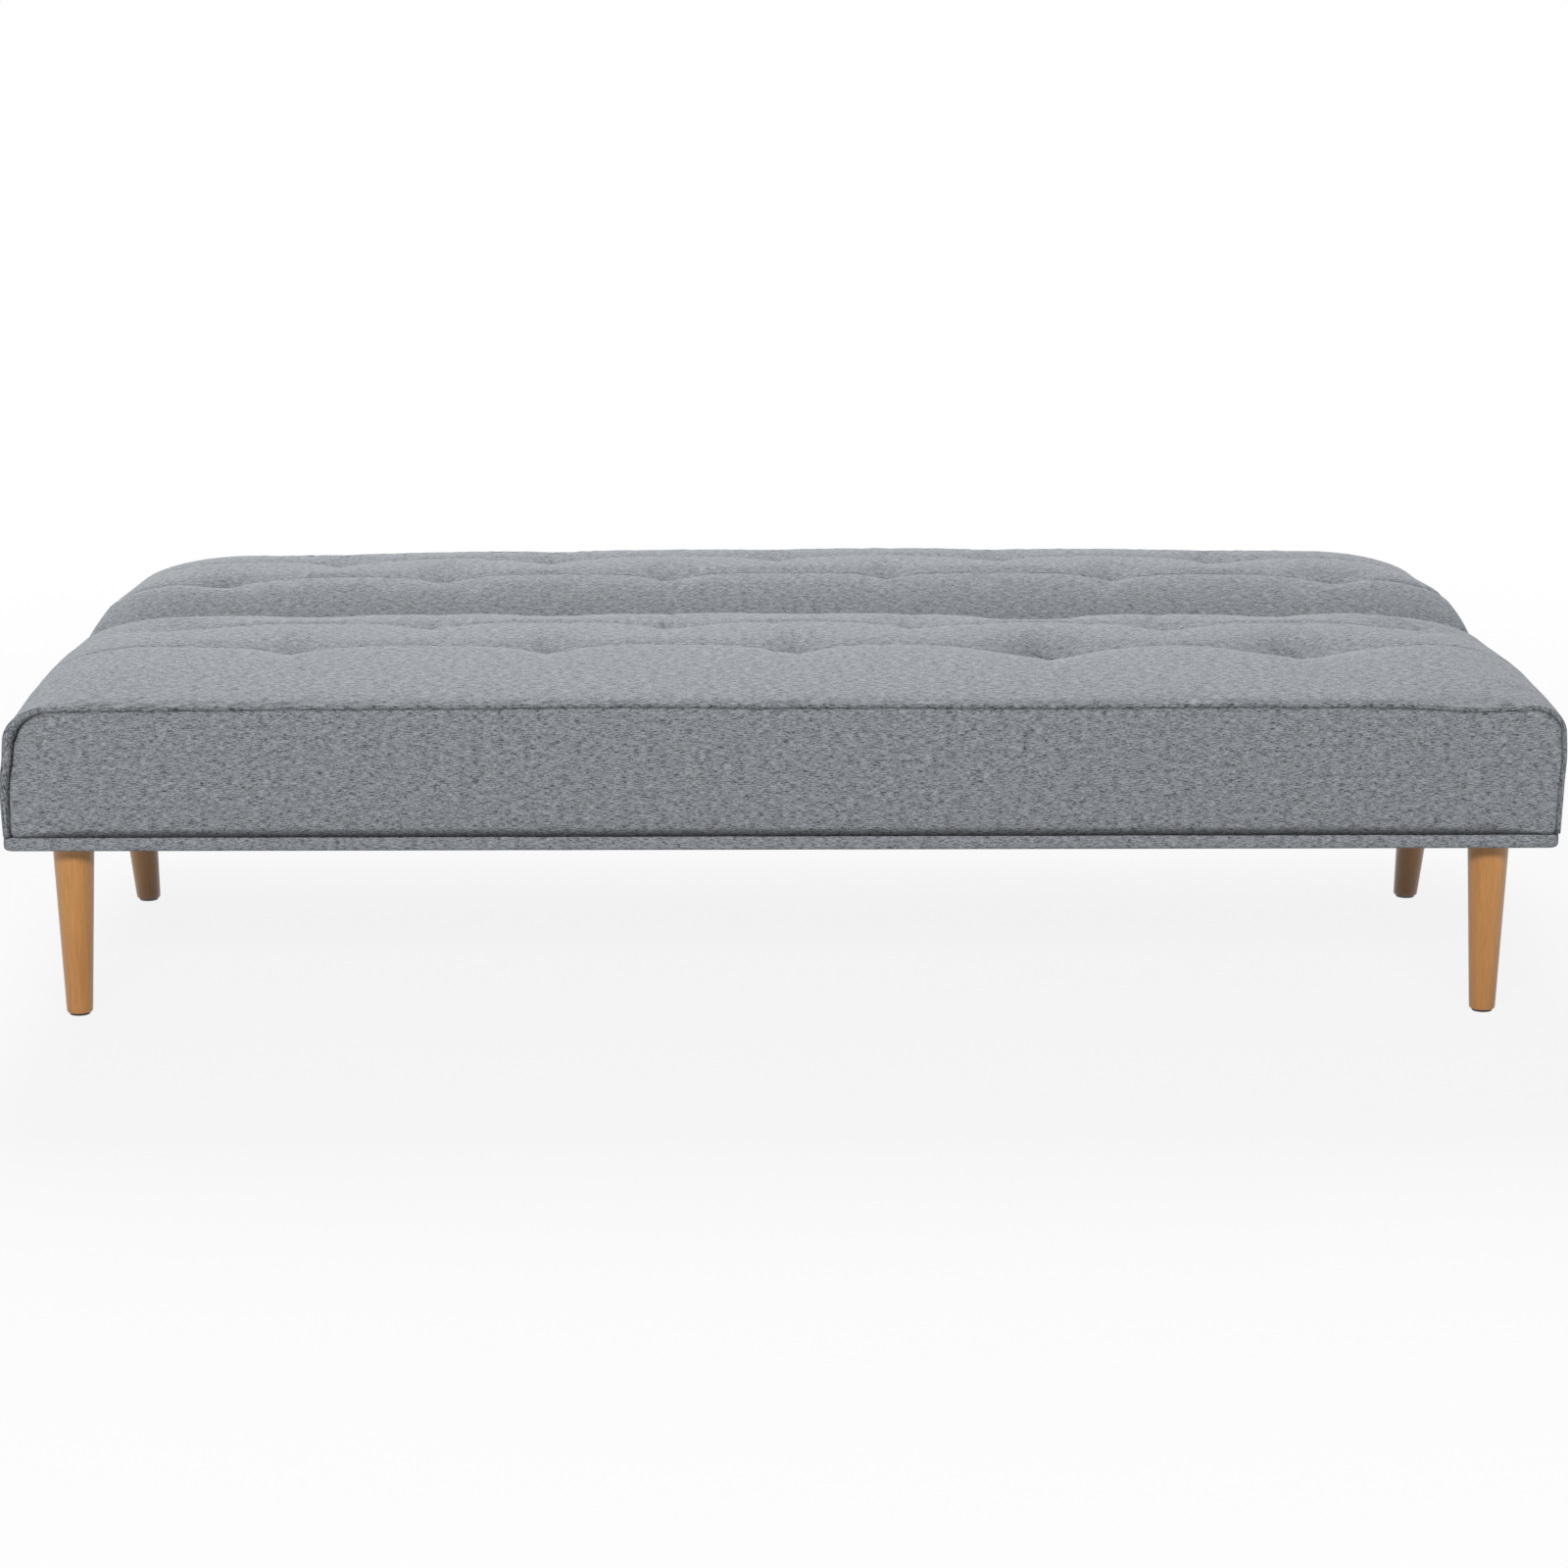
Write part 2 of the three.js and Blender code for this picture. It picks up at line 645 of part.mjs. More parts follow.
// A unit's soft pieces: foam block and its cover
function softPieces(name, pad, side) {
  const pockets = hingePockets(side);
  const bottomZ = slatTopZ + clearance;
  add(`${name}_foam`, surface(cut(foamSolid(pad, 0, bottomZ), ...pockets)), foam);
  const hollow = foamSolid(pad, clearance, underZ);
  add(`${name}_cover`, surface(cut(solid(loft(pad)), hollow, ...pockets)), cloth);
}

// A plinth batten across the whole width, with its outer corners rounded. outward is -1 or 1 in y.
function endPlinth(outerY, outward) {
  const half = halfWidth - plinthInset;
  const face = outerY - outward * plinthInset;
  const innerY = face - outward * plinthBoard;
  const shape = new THREE.Shape();
  shape.moveTo(half, innerY);
  shape.lineTo(-half, innerY);
  shape.lineTo(-half, face - outward * plinthCorner);
  const start = Math.PI;
  const quarter = outward * (Math.PI / 2);
  const arcs = [
    [-half + plinthCorner, start, start - quarter],
    [half - plinthCorner, start - quarter, start - 2 * quarter],
  ];
  for (const [x, from, to] of arcs)
    shape.absarc(x, face - outward * plinthCorner, plinthCorner, from, to, outward > 0);
  const bar = new THREE.ExtrudeGeometry(shape, {
    depth: plinthHeight - 2 * plinthEdge,
    curveSegments: bandSteps,
    bevelEnabled: true,
    bevelSize: plinthEdge,
    bevelOffset: -plinthEdge,
    bevelThickness: plinthEdge,
    bevelSegments: bevelSteps,
  });
  return bar.translate(0, 0, underZ + plinthEdge);
}

// A unit's plinth, rails, centre bearer and slats
function framePieces(name, firstY, lastY, sideRail, slats) {
  const innerFirst = firstY + plinthReach;
  const innerLast = lastY - plinthReach;
  const names = name === "seat" ? ["front", "rear"] : ["near", "far"];
  add(`${name}_plinth_${names[0]}`, endPlinth(firstY, -1), bandCloth);
  add(`${name}_plinth_${names[1]}`, endPlinth(lastY, 1), bandCloth);
  const railEndX = halfWidth - coverWall - clearance;
  for (const [i, y] of [firstY + coverWall, lastY - coverWall - railThick].entries()) {
    const railY = y + (i ? -clearance : clearance);
    const rail = block([-railEndX, railY, boxZ], [railEndX, railY + railThick - clearance, railTopZ]);
    add(`${name}_rail_${names[i]}`, rail, pine);
  }
  for (const [sideName, sign] of Object.entries(hingeEnds)) {
    const outerX = halfWidth - plinthInset;
    const [nearX, farX] = mirrorX(sign, outerX - plinthBoard, outerX);
    const plinth = block([nearX, innerFirst + clearance, underZ], [farX, innerLast - clearance, plinthTopZ]);
    add(`${name}_plinth_${sideName}`, plinth, bandCloth);
    const [fromX, toX] = mirrorX(sign, halfWidth - coverWall - sideRail, railEndX);
    const sideLength = [firstY + railInset + clearance, lastY - railInset - clearance];
    const rail = block([fromX, sideLength[0], boxZ], [toX, sideLength[1], railTopZ]);
    add(`${name}_rail_${sideName}`, rail, pine);
  }
  const bearerZ = underZ + plateThick + clearance;
  const bearer = block(
    [-bearerWidth / 2, innerFirst + clearance, bearerZ],
    [bearerWidth / 2, innerLast - clearance, plinthTopZ],
  );
  add(`${name}_centre_bearer`, bearer, pine);
  const slatFrom = firstY + railInset + clearance;
  const slatRun = lastY - railInset - clearance - slatFrom;
  const spacing = (2 * sideRailX) / (slats + 1);
  for (let i = 1; i <= slats; i++) {
    const slat = batten([0, -slatWidth / 2, 0], [slatRun, slatWidth, slatThick], slatEdge);
    slat.rotateZ(Math.PI / 2).translate(-sideRailX + i * spacing, slatFrom, boxZ);
    add(`${name}_slat_${i}`, slat, beech);
  }
}

// Legs, their plates and blocks, and the glides
function legPieces() {
  const plateHalf = plateSize / 2;
  const legX = halfWidth - plinthReach - legSideSet;
  const legTopZ = underZ - clearance;
  const rows = {
    front: { y: seatFrontY + plinthReach + clearance + plateHalf, splay: 0, wall: -1 },
    rear: { y: seatRearY - plinthReach - clearance - plateHalf, splay: rearLegSplay, wall: 1 },
  };
  for (const [rowName, row] of Object.entries(rows))
    for (const [sideName, sign] of Object.entries(hingeEnds)) {
      const name = `${rowName}_${sideName}`;
      const top = new THREE.Vector3(sign * legX, row.y, legTopZ);
      const foot = new THREE.Vector3(sign * legX, row.y + row.splay, glideThick + clearance);
      const axis = new THREE.Vector3().subVectors(foot, top);
      const length = axis.length();
      const lean = new THREE.Matrix4().makeRotationX(Math.atan2(row.splay, top.z - foot.z));
      lean.setPosition(top);
      const taper = (legFootRadius - legTopRadius) / length;
      const profile = [
        [0, -length - overrun],
        [legFootRadius + taper * overrun, -length - overrun],
        [legTopRadius - taper * overrun, overrun],
        [0, overrun],
      ].map(([radius, z]) => new THREE.Vector2(radius, z));
      const turned = new THREE.LatheGeometry(profile, legSides).rotateX(Math.PI / 2);
      const studHole = new THREE.CylinderGeometry(
        studRadius + clearance, studRadius + clearance, 2 * studLength, smallSides,
      );
      const slab = block(
        [top.x - 2 * legTopRadius, seatFrontY, foot.z],
        [top.x + 2 * legTopRadius, backFarY, top.z],
      );
      const leg = cut(
        solid(turned.applyMatrix4(lean)).intersect(solid(slab)),
        solid(studHole.rotateX(Math.PI / 2).applyMatrix4(lean)),
      );
      add(`leg_${name}`, surface(leg), beech);

      const glide = new THREE.CylinderGeometry(glideRadius, glideRadius - glideTaper, glideThick, roundSides);
      glide.rotateX(Math.PI / 2).translate(foot.x, foot.y, glideThick / 2);
      add(`glide_${name}`, glide, felt);

      const stud = new THREE.CylinderGeometry(studRadius, studRadius, studLength, smallSides);
      stud.rotateX(Math.PI / 2).translate(0, 0, -studLength / 2 + plateThick);
      const plate = block(
        [top.x - plateHalf, row.y - plateHalf, underZ],
        [top.x + plateHalf, row.y + plateHalf, underZ + plateThick],
      );
      const nut = new THREE.CylinderGeometry(nutRadius, nutRadius, nutHeight, nutSides);
      nut.rotateX(Math.PI / 2).translate(top.x, row.y, underZ + nutHeight / 2);
      const mount = joined(solid(plate), solid(nut), solid(stud.applyMatrix4(lean)));
      add(`leg_plate_${name}`, surface(mount), zinc);

      const wallY = row.wall < 0 ? seatFrontY + plinthReach : seatRearY - plinthReach;
      const spanY = row.wall < 0
        ? [wallY + clearance, wallY + legBlock]
        : [wallY - legBlock, wallY - clearance];
      const outerX = halfWidth - plinthReach - clearance;
      const [fromX, toX] = mirrorX(sign, outerX - legBlock, outerX);
      const blockZ = underZ + plateThick + clearance;
      const board = block([fromX, spanY[0], blockZ], [toX, spanY[1], plinthTopZ]);
      const nutRoom = new THREE.CylinderGeometry(
        nutRadius + clearance, nutRadius + clearance, 2 * nutHeight, smallSides,
      );
      nutRoom.rotateX(Math.PI / 2).translate(top.x, row.y, underZ);
      add(`leg_block_${name}`, surface(cut(solid(board), solid(nutRoom))), pine);
    }
}

// Sheets under the two units: a lining below the seat, and the panel that is the back's rear
function undersidePieces() {
  const inset = plinthReach + clearance;
  const plateReach = legSideSet + plateSize / 2 + clearance;
  const plateRun = plateSize + 2 * clearance;
  const half = halfWidth - inset;
  const corner = [half - plateReach, half];
  const [y0, y1] = [seatFrontY + inset, seatRearY - inset];
  const quarter = [
    [corner[1], y0 + plateRun],
    [corner[0], y0 + plateRun],
    [corner[0], y0],
  ];
  const farQuarter = quarter.map(([x, y]) => [x, y0 + y1 - y]);
  const right = [...quarter.reverse(), ...farQuarter];
  const left = right.map(([x, y]) => [-x, y]).reverse();
  const sheet = new THREE.ExtrudeGeometry(outline([...right, ...left]), {
    depth: liningThick,
    bevelEnabled: false,
  });
  const liningZ = underZ + plateThick - liningThick;
  add("seat_lining", sheet.translate(0, 0, liningZ), lining);
  const panelZ = underZ + plateThick;
  const panel = block(
    [-half, backNearY + inset, panelZ - outerPanelThick],
    [half, backFarY - inset, panelZ],
  );
  add("back_outer_panel", panel, cloth);
}

framePieces("seat", seatFrontY, seatRearY, railThick, seatSlats);
framePieces("back", backNearY, backFarY, backRailThick, backSlats);
softPieces("seat", seatPad, -1);
softPieces("back", backPad, 1);
legPieces();
undersidePieces();

export default sofaBed;
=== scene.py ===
import json
import math
from contextlib import contextmanager
from dataclasses import dataclass

import bmesh
import bpy
import numpy as np
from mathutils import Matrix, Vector


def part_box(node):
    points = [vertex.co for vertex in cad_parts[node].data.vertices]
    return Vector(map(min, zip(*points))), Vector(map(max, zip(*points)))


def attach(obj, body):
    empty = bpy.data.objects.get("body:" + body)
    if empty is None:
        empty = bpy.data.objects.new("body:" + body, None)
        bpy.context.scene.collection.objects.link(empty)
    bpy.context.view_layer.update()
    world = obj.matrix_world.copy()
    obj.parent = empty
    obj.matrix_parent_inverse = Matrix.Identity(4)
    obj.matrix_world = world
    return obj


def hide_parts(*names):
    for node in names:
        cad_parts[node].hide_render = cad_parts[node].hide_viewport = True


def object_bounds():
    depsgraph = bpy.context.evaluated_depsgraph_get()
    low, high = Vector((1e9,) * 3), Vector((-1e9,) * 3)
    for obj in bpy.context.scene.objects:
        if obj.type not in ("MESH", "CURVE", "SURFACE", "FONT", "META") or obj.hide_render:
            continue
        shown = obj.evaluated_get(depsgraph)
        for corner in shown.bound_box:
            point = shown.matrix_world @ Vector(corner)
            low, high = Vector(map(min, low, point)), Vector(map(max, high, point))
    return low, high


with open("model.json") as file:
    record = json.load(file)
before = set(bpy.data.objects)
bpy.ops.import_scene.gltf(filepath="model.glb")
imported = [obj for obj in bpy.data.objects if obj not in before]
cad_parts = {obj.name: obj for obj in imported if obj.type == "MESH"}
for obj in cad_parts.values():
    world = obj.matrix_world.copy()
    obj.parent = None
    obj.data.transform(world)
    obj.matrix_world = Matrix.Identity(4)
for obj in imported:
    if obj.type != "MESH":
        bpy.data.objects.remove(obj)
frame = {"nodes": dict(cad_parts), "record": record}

bl_info = {
    "name": "Tufted sofa bed",
    "version": (1, 0, 0),
    "blender": (4, 5, 0),
    "location": "3D View > Sidebar > Sofa bed",
    "description": "Dresses a click clack sofa bed: tufted pads, wrapped plinth, turned legs and hinges",
    "category": "Add Mesh",
}

CAD_BOX = [list(corner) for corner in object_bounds()]

# The photograph's frame and its lens, found from the sofa's own edges
PHOTO_PIXELS = 1600
LENS_PIXELS = 4027.6
LENS_CENTRE_PIXEL = 797.5
EYE_HEIGHT = 1.2624
EYE_DISTANCE = 4.4182
EYE_PITCH = 0.21712
EYE_ASIDE = -0.045
EYE_AIM = 4.55
LAMP_AIM = Vector((0.0, 0.0, 0.35))

HINGE_GAP = 0.0008          # room round a hinge in its window
PLATE_GAP = (0.0005, 0.0006)    # room beside a leg plate in the lining's notch, along x and y


def node_box(name):
    """A CAD node's lowest and highest corners as two arrays, in metres."""
    low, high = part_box(name)
    return np.array(low), np.array(high)


def joint_named(name):
    """One joint of the frame by its name."""
    return next(joint for joint in frame["record"]["behaviour"]["joints"] if joint["name"] == name)


FOLD_AXIS = np.array(joint_named("back_recline")["pos_m"])


def length(name, description, default):
    """A size in metres that the panel shows."""
    return bpy.props.FloatProperty(name=name, description=description, default=default, unit="LENGTH")


def tint(name, description, default):
    """A linear colour that the panel shows."""
    return bpy.props.FloatVectorProperty(
        name=name, description=description, default=default, subtype="COLOR", size=3)


class SofaSizes(bpy.types.PropertyGroup):
    """Sizes of the soft forms that a user would change."""

    crown: length("Crown", "Rise of a pad's middle above its edge", 0.0178)
    crown_run: length("Crown run", "Distance over which the crown rises", 0.31)
    edge_round: length("Edge depth", "Depth of the rounding behind a boxed panel", 0.0048)
    edge_top: length("Top edge", "Rounding from the boxed panel to the top", 0.0027)
    tuft_depth: length("Tuft depth", "Depth of the pinch at a sewn tuft", 0.0105)
    tuft_width: length("Tuft width", "Reach of a pinch along its row", 0.019)
    tuft_near: length("Tuft wall", "Reach of a pinch across its row", 0.017)
    basin_depth: length("Basin depth", "Fall of the pads towards the deepest tuft", 0.0300)
    basin_reach: length("Basin reach", "Reach of that fall along the row", 0.057)
    basin_near: length("Basin near side", "Reach of that fall towards the sitter", 0.046)
    basin_far: length("Basin far side", "Reach of that fall away from the sitter", 0.056)
    pucker_depth: length("Pucker depth", "Height of the small folds that run from a tuft", 0.0009)
    channel_depth: length("Channel depth", "Depth of the valley along a row", 0.0009)
    channel_near: length("Channel near side", "Reach of a row's valley towards the sitter", 0.012)
    channel_far: length("Channel far side", "Reach of a row's valley away from the sitter", 0.026)
    line_depth: length("Line depth", "Depth of the sharp fold at a row's line", 0.0016)
    line_reach: length("Line reach", "Half width of the fold at a row's line", 0.0022)
    crest_depth: length("Crest pull", "Fall of the seat's crest behind its deepest tuft", 0.0175)
    stitch_depth: length("Stitch groove", "Depth of a sewn groove", 0.0026)
    stitch_reach: length("Stitch reach", "Half width of a sewn groove", 0.0020)
    cloth_thick: length("Cloth", "Thickness of the cover with its lining", 0.0018)
    panel_puff: length("Panel puff", "Bulge of a boxed panel's middle", 0.0022)
    settle_limit: length("Settle limit", "Most that settling moves a point of a pad", 0.0026)
    settle_pressure: bpy.props.FloatProperty(
        name="Settle pressure", description="Pressure of the filling while the cloth settles", default=4.0)


class SofaColours(bpy.types.PropertyGroup):
    """Colours of the finishes, linear."""

    cloth: tint("Cloth", "Middle tone of the woven cloth", (0.285, 0.301, 0.324))
    cloth_dark: tint("Dark yarn", "Darkest yarn in the cloth", (0.064, 0.068, 0.077))
    cloth_light: tint("Light yarn", "Lightest yarn in the cloth", (0.455, 0.478, 0.505))
    leg_timber: tint("Leg timber", "Lacquered beech", (0.70, 0.335, 0.095))
    leg_grain: tint("Leg grain", "Darker growth in the beech", (0.53, 0.220, 0.052))
    raw_timber: tint("Frame timber", "Planed softwood", (0.62, 0.44, 0.24))
    steel: tint("Hinge steel", "Zinc plated steel", (0.56, 0.57, 0.58))


def sizes():
    """The sizes set in the panel."""
    return bpy.context.scene.sofa_sizes


def colours():
    """The colours set in the panel."""
    return bpy.context.scene.sofa_colours


# Shader writing: a socket that takes arithmetic, and one method for every other node


class Value:
    """A shader socket. Arithmetic on it adds Math nodes to its tree."""

    def __init__(self, paint, socket):
        self.paint = paint
        self.socket = socket

    def _math(self, operation, *others):
        return self.paint.node("ShaderNodeMath", {"operation": operation}, dict(enumerate((self, *others))))

    def __add__(self, other): return self._math("ADD", other)
    def __sub__(self, other): return self._math("SUBTRACT", other)
    def __mul__(self, other): return self._math("MULTIPLY", other)

    def least(self, other): return self._math("MINIMUM", other)
    def sine(self): return self._math("SINE")


class Paint:
    """Writes one material's node tree."""

    def __init__(self, name):
        self.material = bpy.data.materials.new(name)
        self.material.use_nodes = True
        self.tree = self.material.node_tree
        self.tree.nodes.clear()
        self.output = self.tree.nodes.new("ShaderNodeOutputMaterial")

    def node(self, kind, settings=None, inputs=None, out=0):
        """Adds a node: its settings first, then values or links for its sockets."""
        made = self.tree.nodes.new(kind)
        for key, value in (settings or {}).items():
            if key == "stops":
                ramp = made.color_ramp
                while len(ramp.elements) < len(value):
                    ramp.elements.new(0.5)
                for element, (place, colour) in zip(ramp.elements, value):
                    element.position = place
                    element.color = (*colour, 1.0)
            else:
                setattr(made, key, value)
        for key, value in (inputs or {}).items():
            if isinstance(value, Value):
                self.tree.links.new(value.socket, made.inputs[key])
            else:
                made.inputs[key].default_value = value
        return Value(self, made.outputs[out])

    def noise(self, where, scale, detail=2.0, rough=0.5):
        """Noise from 0 to 1 at a place, of one scale or of one for each axis."""
        if isinstance(scale, tuple):
            spaced = {"Vector": where, "Scale": scale}
            where, scale = self.node("ShaderNodeMapping", {"vector_type": "POINT"}, spaced), 1.0
        return self.node("ShaderNodeTexNoise", {"noise_dimensions": "3D"},
                         {"Vector": where, "Scale": scale, "Detail": detail, "Roughness": rough})

    def blend(self, share, first, second):
        """A colour between two colours."""
        return self.node("ShaderNodeMix", {"data_type": "RGBA", "clamp_factor": True},
                         {0: share, 6: first, 7: second}, out=2)

    def ramp(self, share, low, high):
        """A number taken from low..high to 0..1, held at the ends."""
        return self.node("ShaderNodeMapRange", {"clamp": True},
                         {"Value": share, "From Min": low, "From Max": high})

    def bump(self, height, distance, strength):
        """A bump normal from a height; distance is its full depth in metres."""
        return self.node("ShaderNodeBump", {}, {"Height": height, "Distance": distance, "Strength": strength})

    def finish(self, inputs):
        """The principled surface that the tree ends in."""
        shader = self.node("ShaderNodeBsdfPrincipled", {}, inputs)
        self.tree.links.new(shader.socket, self.output.inputs["Surface"])
        return self.material


def rgba(colour, gain=1.0):
    """A colour with its gain, opaque."""
    return (*[part * gain for part in colour], 1.0)


STITCH_PITCH, THREAD_PITCH, WEAVE_DEPTH = 0.0062, 0.0013, 0.00016


def cloth_material(name, gain=1.0):
    """Heathered plain weave: short dark and light yarns along u, finer ones along v, on a thread bump.

    u and v are the cloth's own map, in metres, so that the yarns follow the pads. The seam attribute is
    painted shade: it darkens the sewn grooves, the rows' lines and the panels' feet towards near black, a
    little more in dashes one stitch long."""
    paint = Paint(name)
    tone = colours()
    cloth = paint.node("ShaderNodeUVMap", {"uv_map": "cloth"})
    seam = paint.node("ShaderNodeAttribute", {"attribute_name": "seam"}, out=2)
    dashes = paint.noise(cloth, (135, 1150, 1), 1.0, 0.6)
    flecks = paint.noise(cloth, (330, 1500, 1), 1.0)
    picks = paint.noise(cloth, (1250, 260, 1), 1.0)
    slubs = paint.noise(cloth, (70, 170, 1), 3.0, 0.62)
    yarn = dashes + (flecks - 0.5) * 0.6 + (picks - 0.5) * 0.35 + (slubs - 0.5) * 0.48
    dark = paint.ramp(yarn, 0.50, 0.27)
    pale = paint.ramp(yarn, 0.50, 0.76)
    base = paint.blend(dark, rgba(tone.cloth, gain), rgba(tone.cloth_dark, gain))
    base = paint.blend(pale, base, rgba(tone.cloth_light, gain))
    place = paint.node("ShaderNodeSeparateXYZ", {}, {0: cloth})
    across = Value(paint, place.socket.node.outputs[0])
    along = Value(paint, place.socket.node.outputs[1])
    stitch = (across * (2 * math.pi / STITCH_PITCH)).sine()
    # Painted shade: the seam attribute, strengthened a little in dashes one stitch long, blends the cloth
    # towards near black
    sewn = (seam * (stitch * 0.05 + 1.05)).least(1.0)
    base = paint.blend(sewn, base, rgba(tone.cloth_dark, 0.10))
    thread = 2 * math.pi / THREAD_PITCH
    weft = (along * thread + flecks * 4.0).sine()
    warp = (across * thread + picks * 4.0).sine()
    weave = weft * warp * 0.5 + flecks * 0.5
    normal = paint.bump(weave, WEAVE_DEPTH, 0.5)
    return paint.finish({
        "Base Color": base, "Roughness": 0.95, "Specular IOR Level": 0.10, "Sheen Weight": 0.13,
        "Sheen Roughness": 0.35, "Sheen Tint": (0.90, 0.94, 1.0, 1.0), "Normal": normal,
    })


def leg_material():
    """Lacquered beech: long grain along the leg, fine pores and a satin coat."""
    paint = Paint("leg_beech")
    tone = colours()
    place = paint.node("ShaderNodeAttribute", {"attribute_name": "leg_place"}, out=1)
    broad = paint.noise(place, (38, 38, 3.2), 3.0, 0.55)
    fine = paint.noise(place, (520, 520, 11), 2.0, 0.6)
    flecks = paint.noise(place, (900, 900, 70), 1.0, 0.5)
    grain = paint.ramp(broad * 0.62 + fine * 0.38, 0.36, 0.66)
    base = paint.blend(grain, rgba(tone.leg_timber), rgba(tone.leg_grain))
    base = paint.blend(paint.ramp(flecks, 0.62, 0.74) * 0.35, base, rgba(tone.leg_grain, 0.7))
    rough = grain * 0.08 + 0.33
    normal = paint.bump(fine * 0.6 + flecks * 0.4, 0.0002, 0.35)
    return paint.finish({
        "Base Color": base, "Roughness": rough, "Coat Weight": 0.35, "Coat Roughness": 0.22,
        "Normal": normal})


def timber_material(name, along, colour):
    """Planed softwood or beech, its grain along one axis of the sofa."""
    paint = Paint(name)
    place = paint.node("ShaderNodeTexCoord", {}, out=3)
    scale = [90.0, 90.0, 90.0]
    scale[along] = 5.0
    rings = paint.noise(place, tuple(scale), 3.0, 0.55)
    fine = paint.noise(place, tuple(6 * part for part in scale), 2.0)
    grain = paint.ramp(rings * 0.7 + fine * 0.3, 0.35, 0.68)
    base = paint.blend(grain, rgba(colour), rgba(colour, 0.55))
    normal = paint.bump(grain * 0.5 + fine * 0.5, 0.0003, 0.4)
    return paint.finish({"Base Color": base, "Roughness": grain * 0.1 + 0.62, "Normal": normal})


def steel_material(name, colour, metallic, rough):
    """Plated steel with a faint spangle and rubbed streaks."""
    paint = Paint(name)
    place = paint.node("ShaderNodeTexCoord", {}, out=3)
    spangle = paint.noise(place, 240.0, 2.0, 0.6)
    streak = paint.noise(place, (900, 60, 900), 2.0)
    base = paint.blend(paint.ramp(spangle, 0.35, 0.7) * 0.4, rgba(colour), rgba(colour, 0.72))
    normal = paint.bump(streak, 0.00008, 0.4)
    return paint.finish({
        "Base Color": base, "Metallic": metallic, "Roughness": spangle * 0.2 + rough, "Normal": normal})


def plain_material(name, colour, rough, grain_scale, depth):
    """A matt finish with a fine even grain, for the glides, the lining and the foam."""
    paint = Paint(name)
    place = paint.node("ShaderNodeTexCoord", {}, out=3)
    grain = paint.noise(place, grain_scale, 3.0, 0.6)
    base = paint.blend(paint.ramp(grain, 0.3, 0.7), rgba(colour, 0.8), rgba(colour, 1.15))
    normal = paint.bump(grain, depth, 0.6)
    return paint.finish({"Base Color": base, "Roughness": grain * 0.1 + rough, "Normal": normal})


MATERIALS = {}


def material(name):
    """A finish by name, made once."""
    if name not in MATERIALS:
        tone = colours()
        makers = {
            "pad_cloth": lambda: cloth_material("pad_cloth"),
            "panel_cloth": lambda: cloth_material("panel_cloth", 1.05),
            "leg_beech": leg_material,
            "rail_pine": lambda: timber_material("rail_pine", 0, tone.raw_timber),
            "slat_beech": lambda: timber_material("slat_beech", 1, tone.raw_timber),
            "zinc": lambda: steel_material("zinc", tone.steel, 0.9, 0.3),
            "black_steel": lambda: steel_material("black_steel", (0.05, 0.05, 0.055), 0.6, 0.42),
            "glide": lambda: plain_material("glide", (0.035, 0.032, 0.03), 0.8, 900.0, 0.0003),
            "lining": lambda: plain_material("lining", (0.018, 0.018, 0.020), 0.9, 1400.0, 0.0003),
            "foam": lambda: plain_material("foam", (0.72, 0.62, 0.38), 0.85, 500.0, 0.0008),
        }
        MATERIALS[name] = makers[name]()
    return MATERIALS[name]


# Mesh writing


def patch_arrays(points, first):
    """Quads over a grid of points (rows, columns, 3), with vertex numbers from first."""
    rows, columns = points.shape[:2]
    number = first + np.arange(rows * columns).reshape(rows, columns)
    return np.stack([number[:-1, :-1], number[:-1, 1:], number[1:, 1:], number[1:, :-1]], -1).reshape(-1, 4)


@contextmanager
def edited(mesh):
    """A mesh opened for bmesh work and written back at the end."""
    shell = bmesh.new()
    shell.from_mesh(mesh)
    yield shell
    shell.to_mesh(mesh)
    shell.free()


def placed(name, data):
    """An object for some data, put in the scene at the origin."""
    made = bpy.data.objects.new(name, data)
    bpy.context.scene.collection.objects.link(made)
    return made


def surface_object(name, patches, finish, weld=2e-5):
    """One object from grid patches of (points, cloth map, seam shade, flip), with shared borders welded. The
    seam shade is painted shade, kept in the seam attribute.
    """
    vertices, faces, maps, seam_shades = [], [], [], []
    count = 0
    for points, cloth, seam, flip in patches:
        quads = patch_arrays(points, count)
        vertices.append(points.reshape(-1, 3))
        maps.append(cloth.reshape(-1, 2))
        seam_shades.append(np.broadcast_to(seam, points.shape[:2]).reshape(-1))
        faces.append(quads[:, ::-1] if flip else quads)
        count += points.shape[0] * points.shape[1]
    vertices, faces, maps = np.concatenate(vertices), np.concatenate(faces), np.concatenate(maps)
    mesh = bpy.data.meshes.new(name)
    mesh.vertices.add(len(vertices))
    mesh.vertices.foreach_set("co", vertices.astype(np.float32).ravel())
    mesh.loops.add(faces.size)
    mesh.loops.foreach_set("vertex_index", faces.astype(np.int32).ravel())
    mesh.polygons.add(len(faces))
    mesh.polygons.foreach_set("loop_start", np.arange(0, faces.size, 4, dtype=np.int32))
    mesh.polygons.foreach_set("use_smooth", np.ones(len(faces), dtype=bool))
    mesh.update(calc_edges=True)
    layer = mesh.uv_layers.new(name="cloth")
    layer.data.foreach_set("uv", maps[faces.ravel()].astype(np.float32).ravel())
    # The seam attribute holds painted shade for the cloth's grooves, the rows' lines and the panels' feet
    sewn = mesh.attributes.new("seam", "FLOAT", "POINT")
    sewn.data.foreach_set("value", np.concatenate(seam_shades).astype(np.float32))
    with edited(mesh) as shell:
        bmesh.ops.remove_doubles(shell, verts=shell.verts, dist=weld)
    mesh.materials.append(finish)
    return placed(name, mesh)


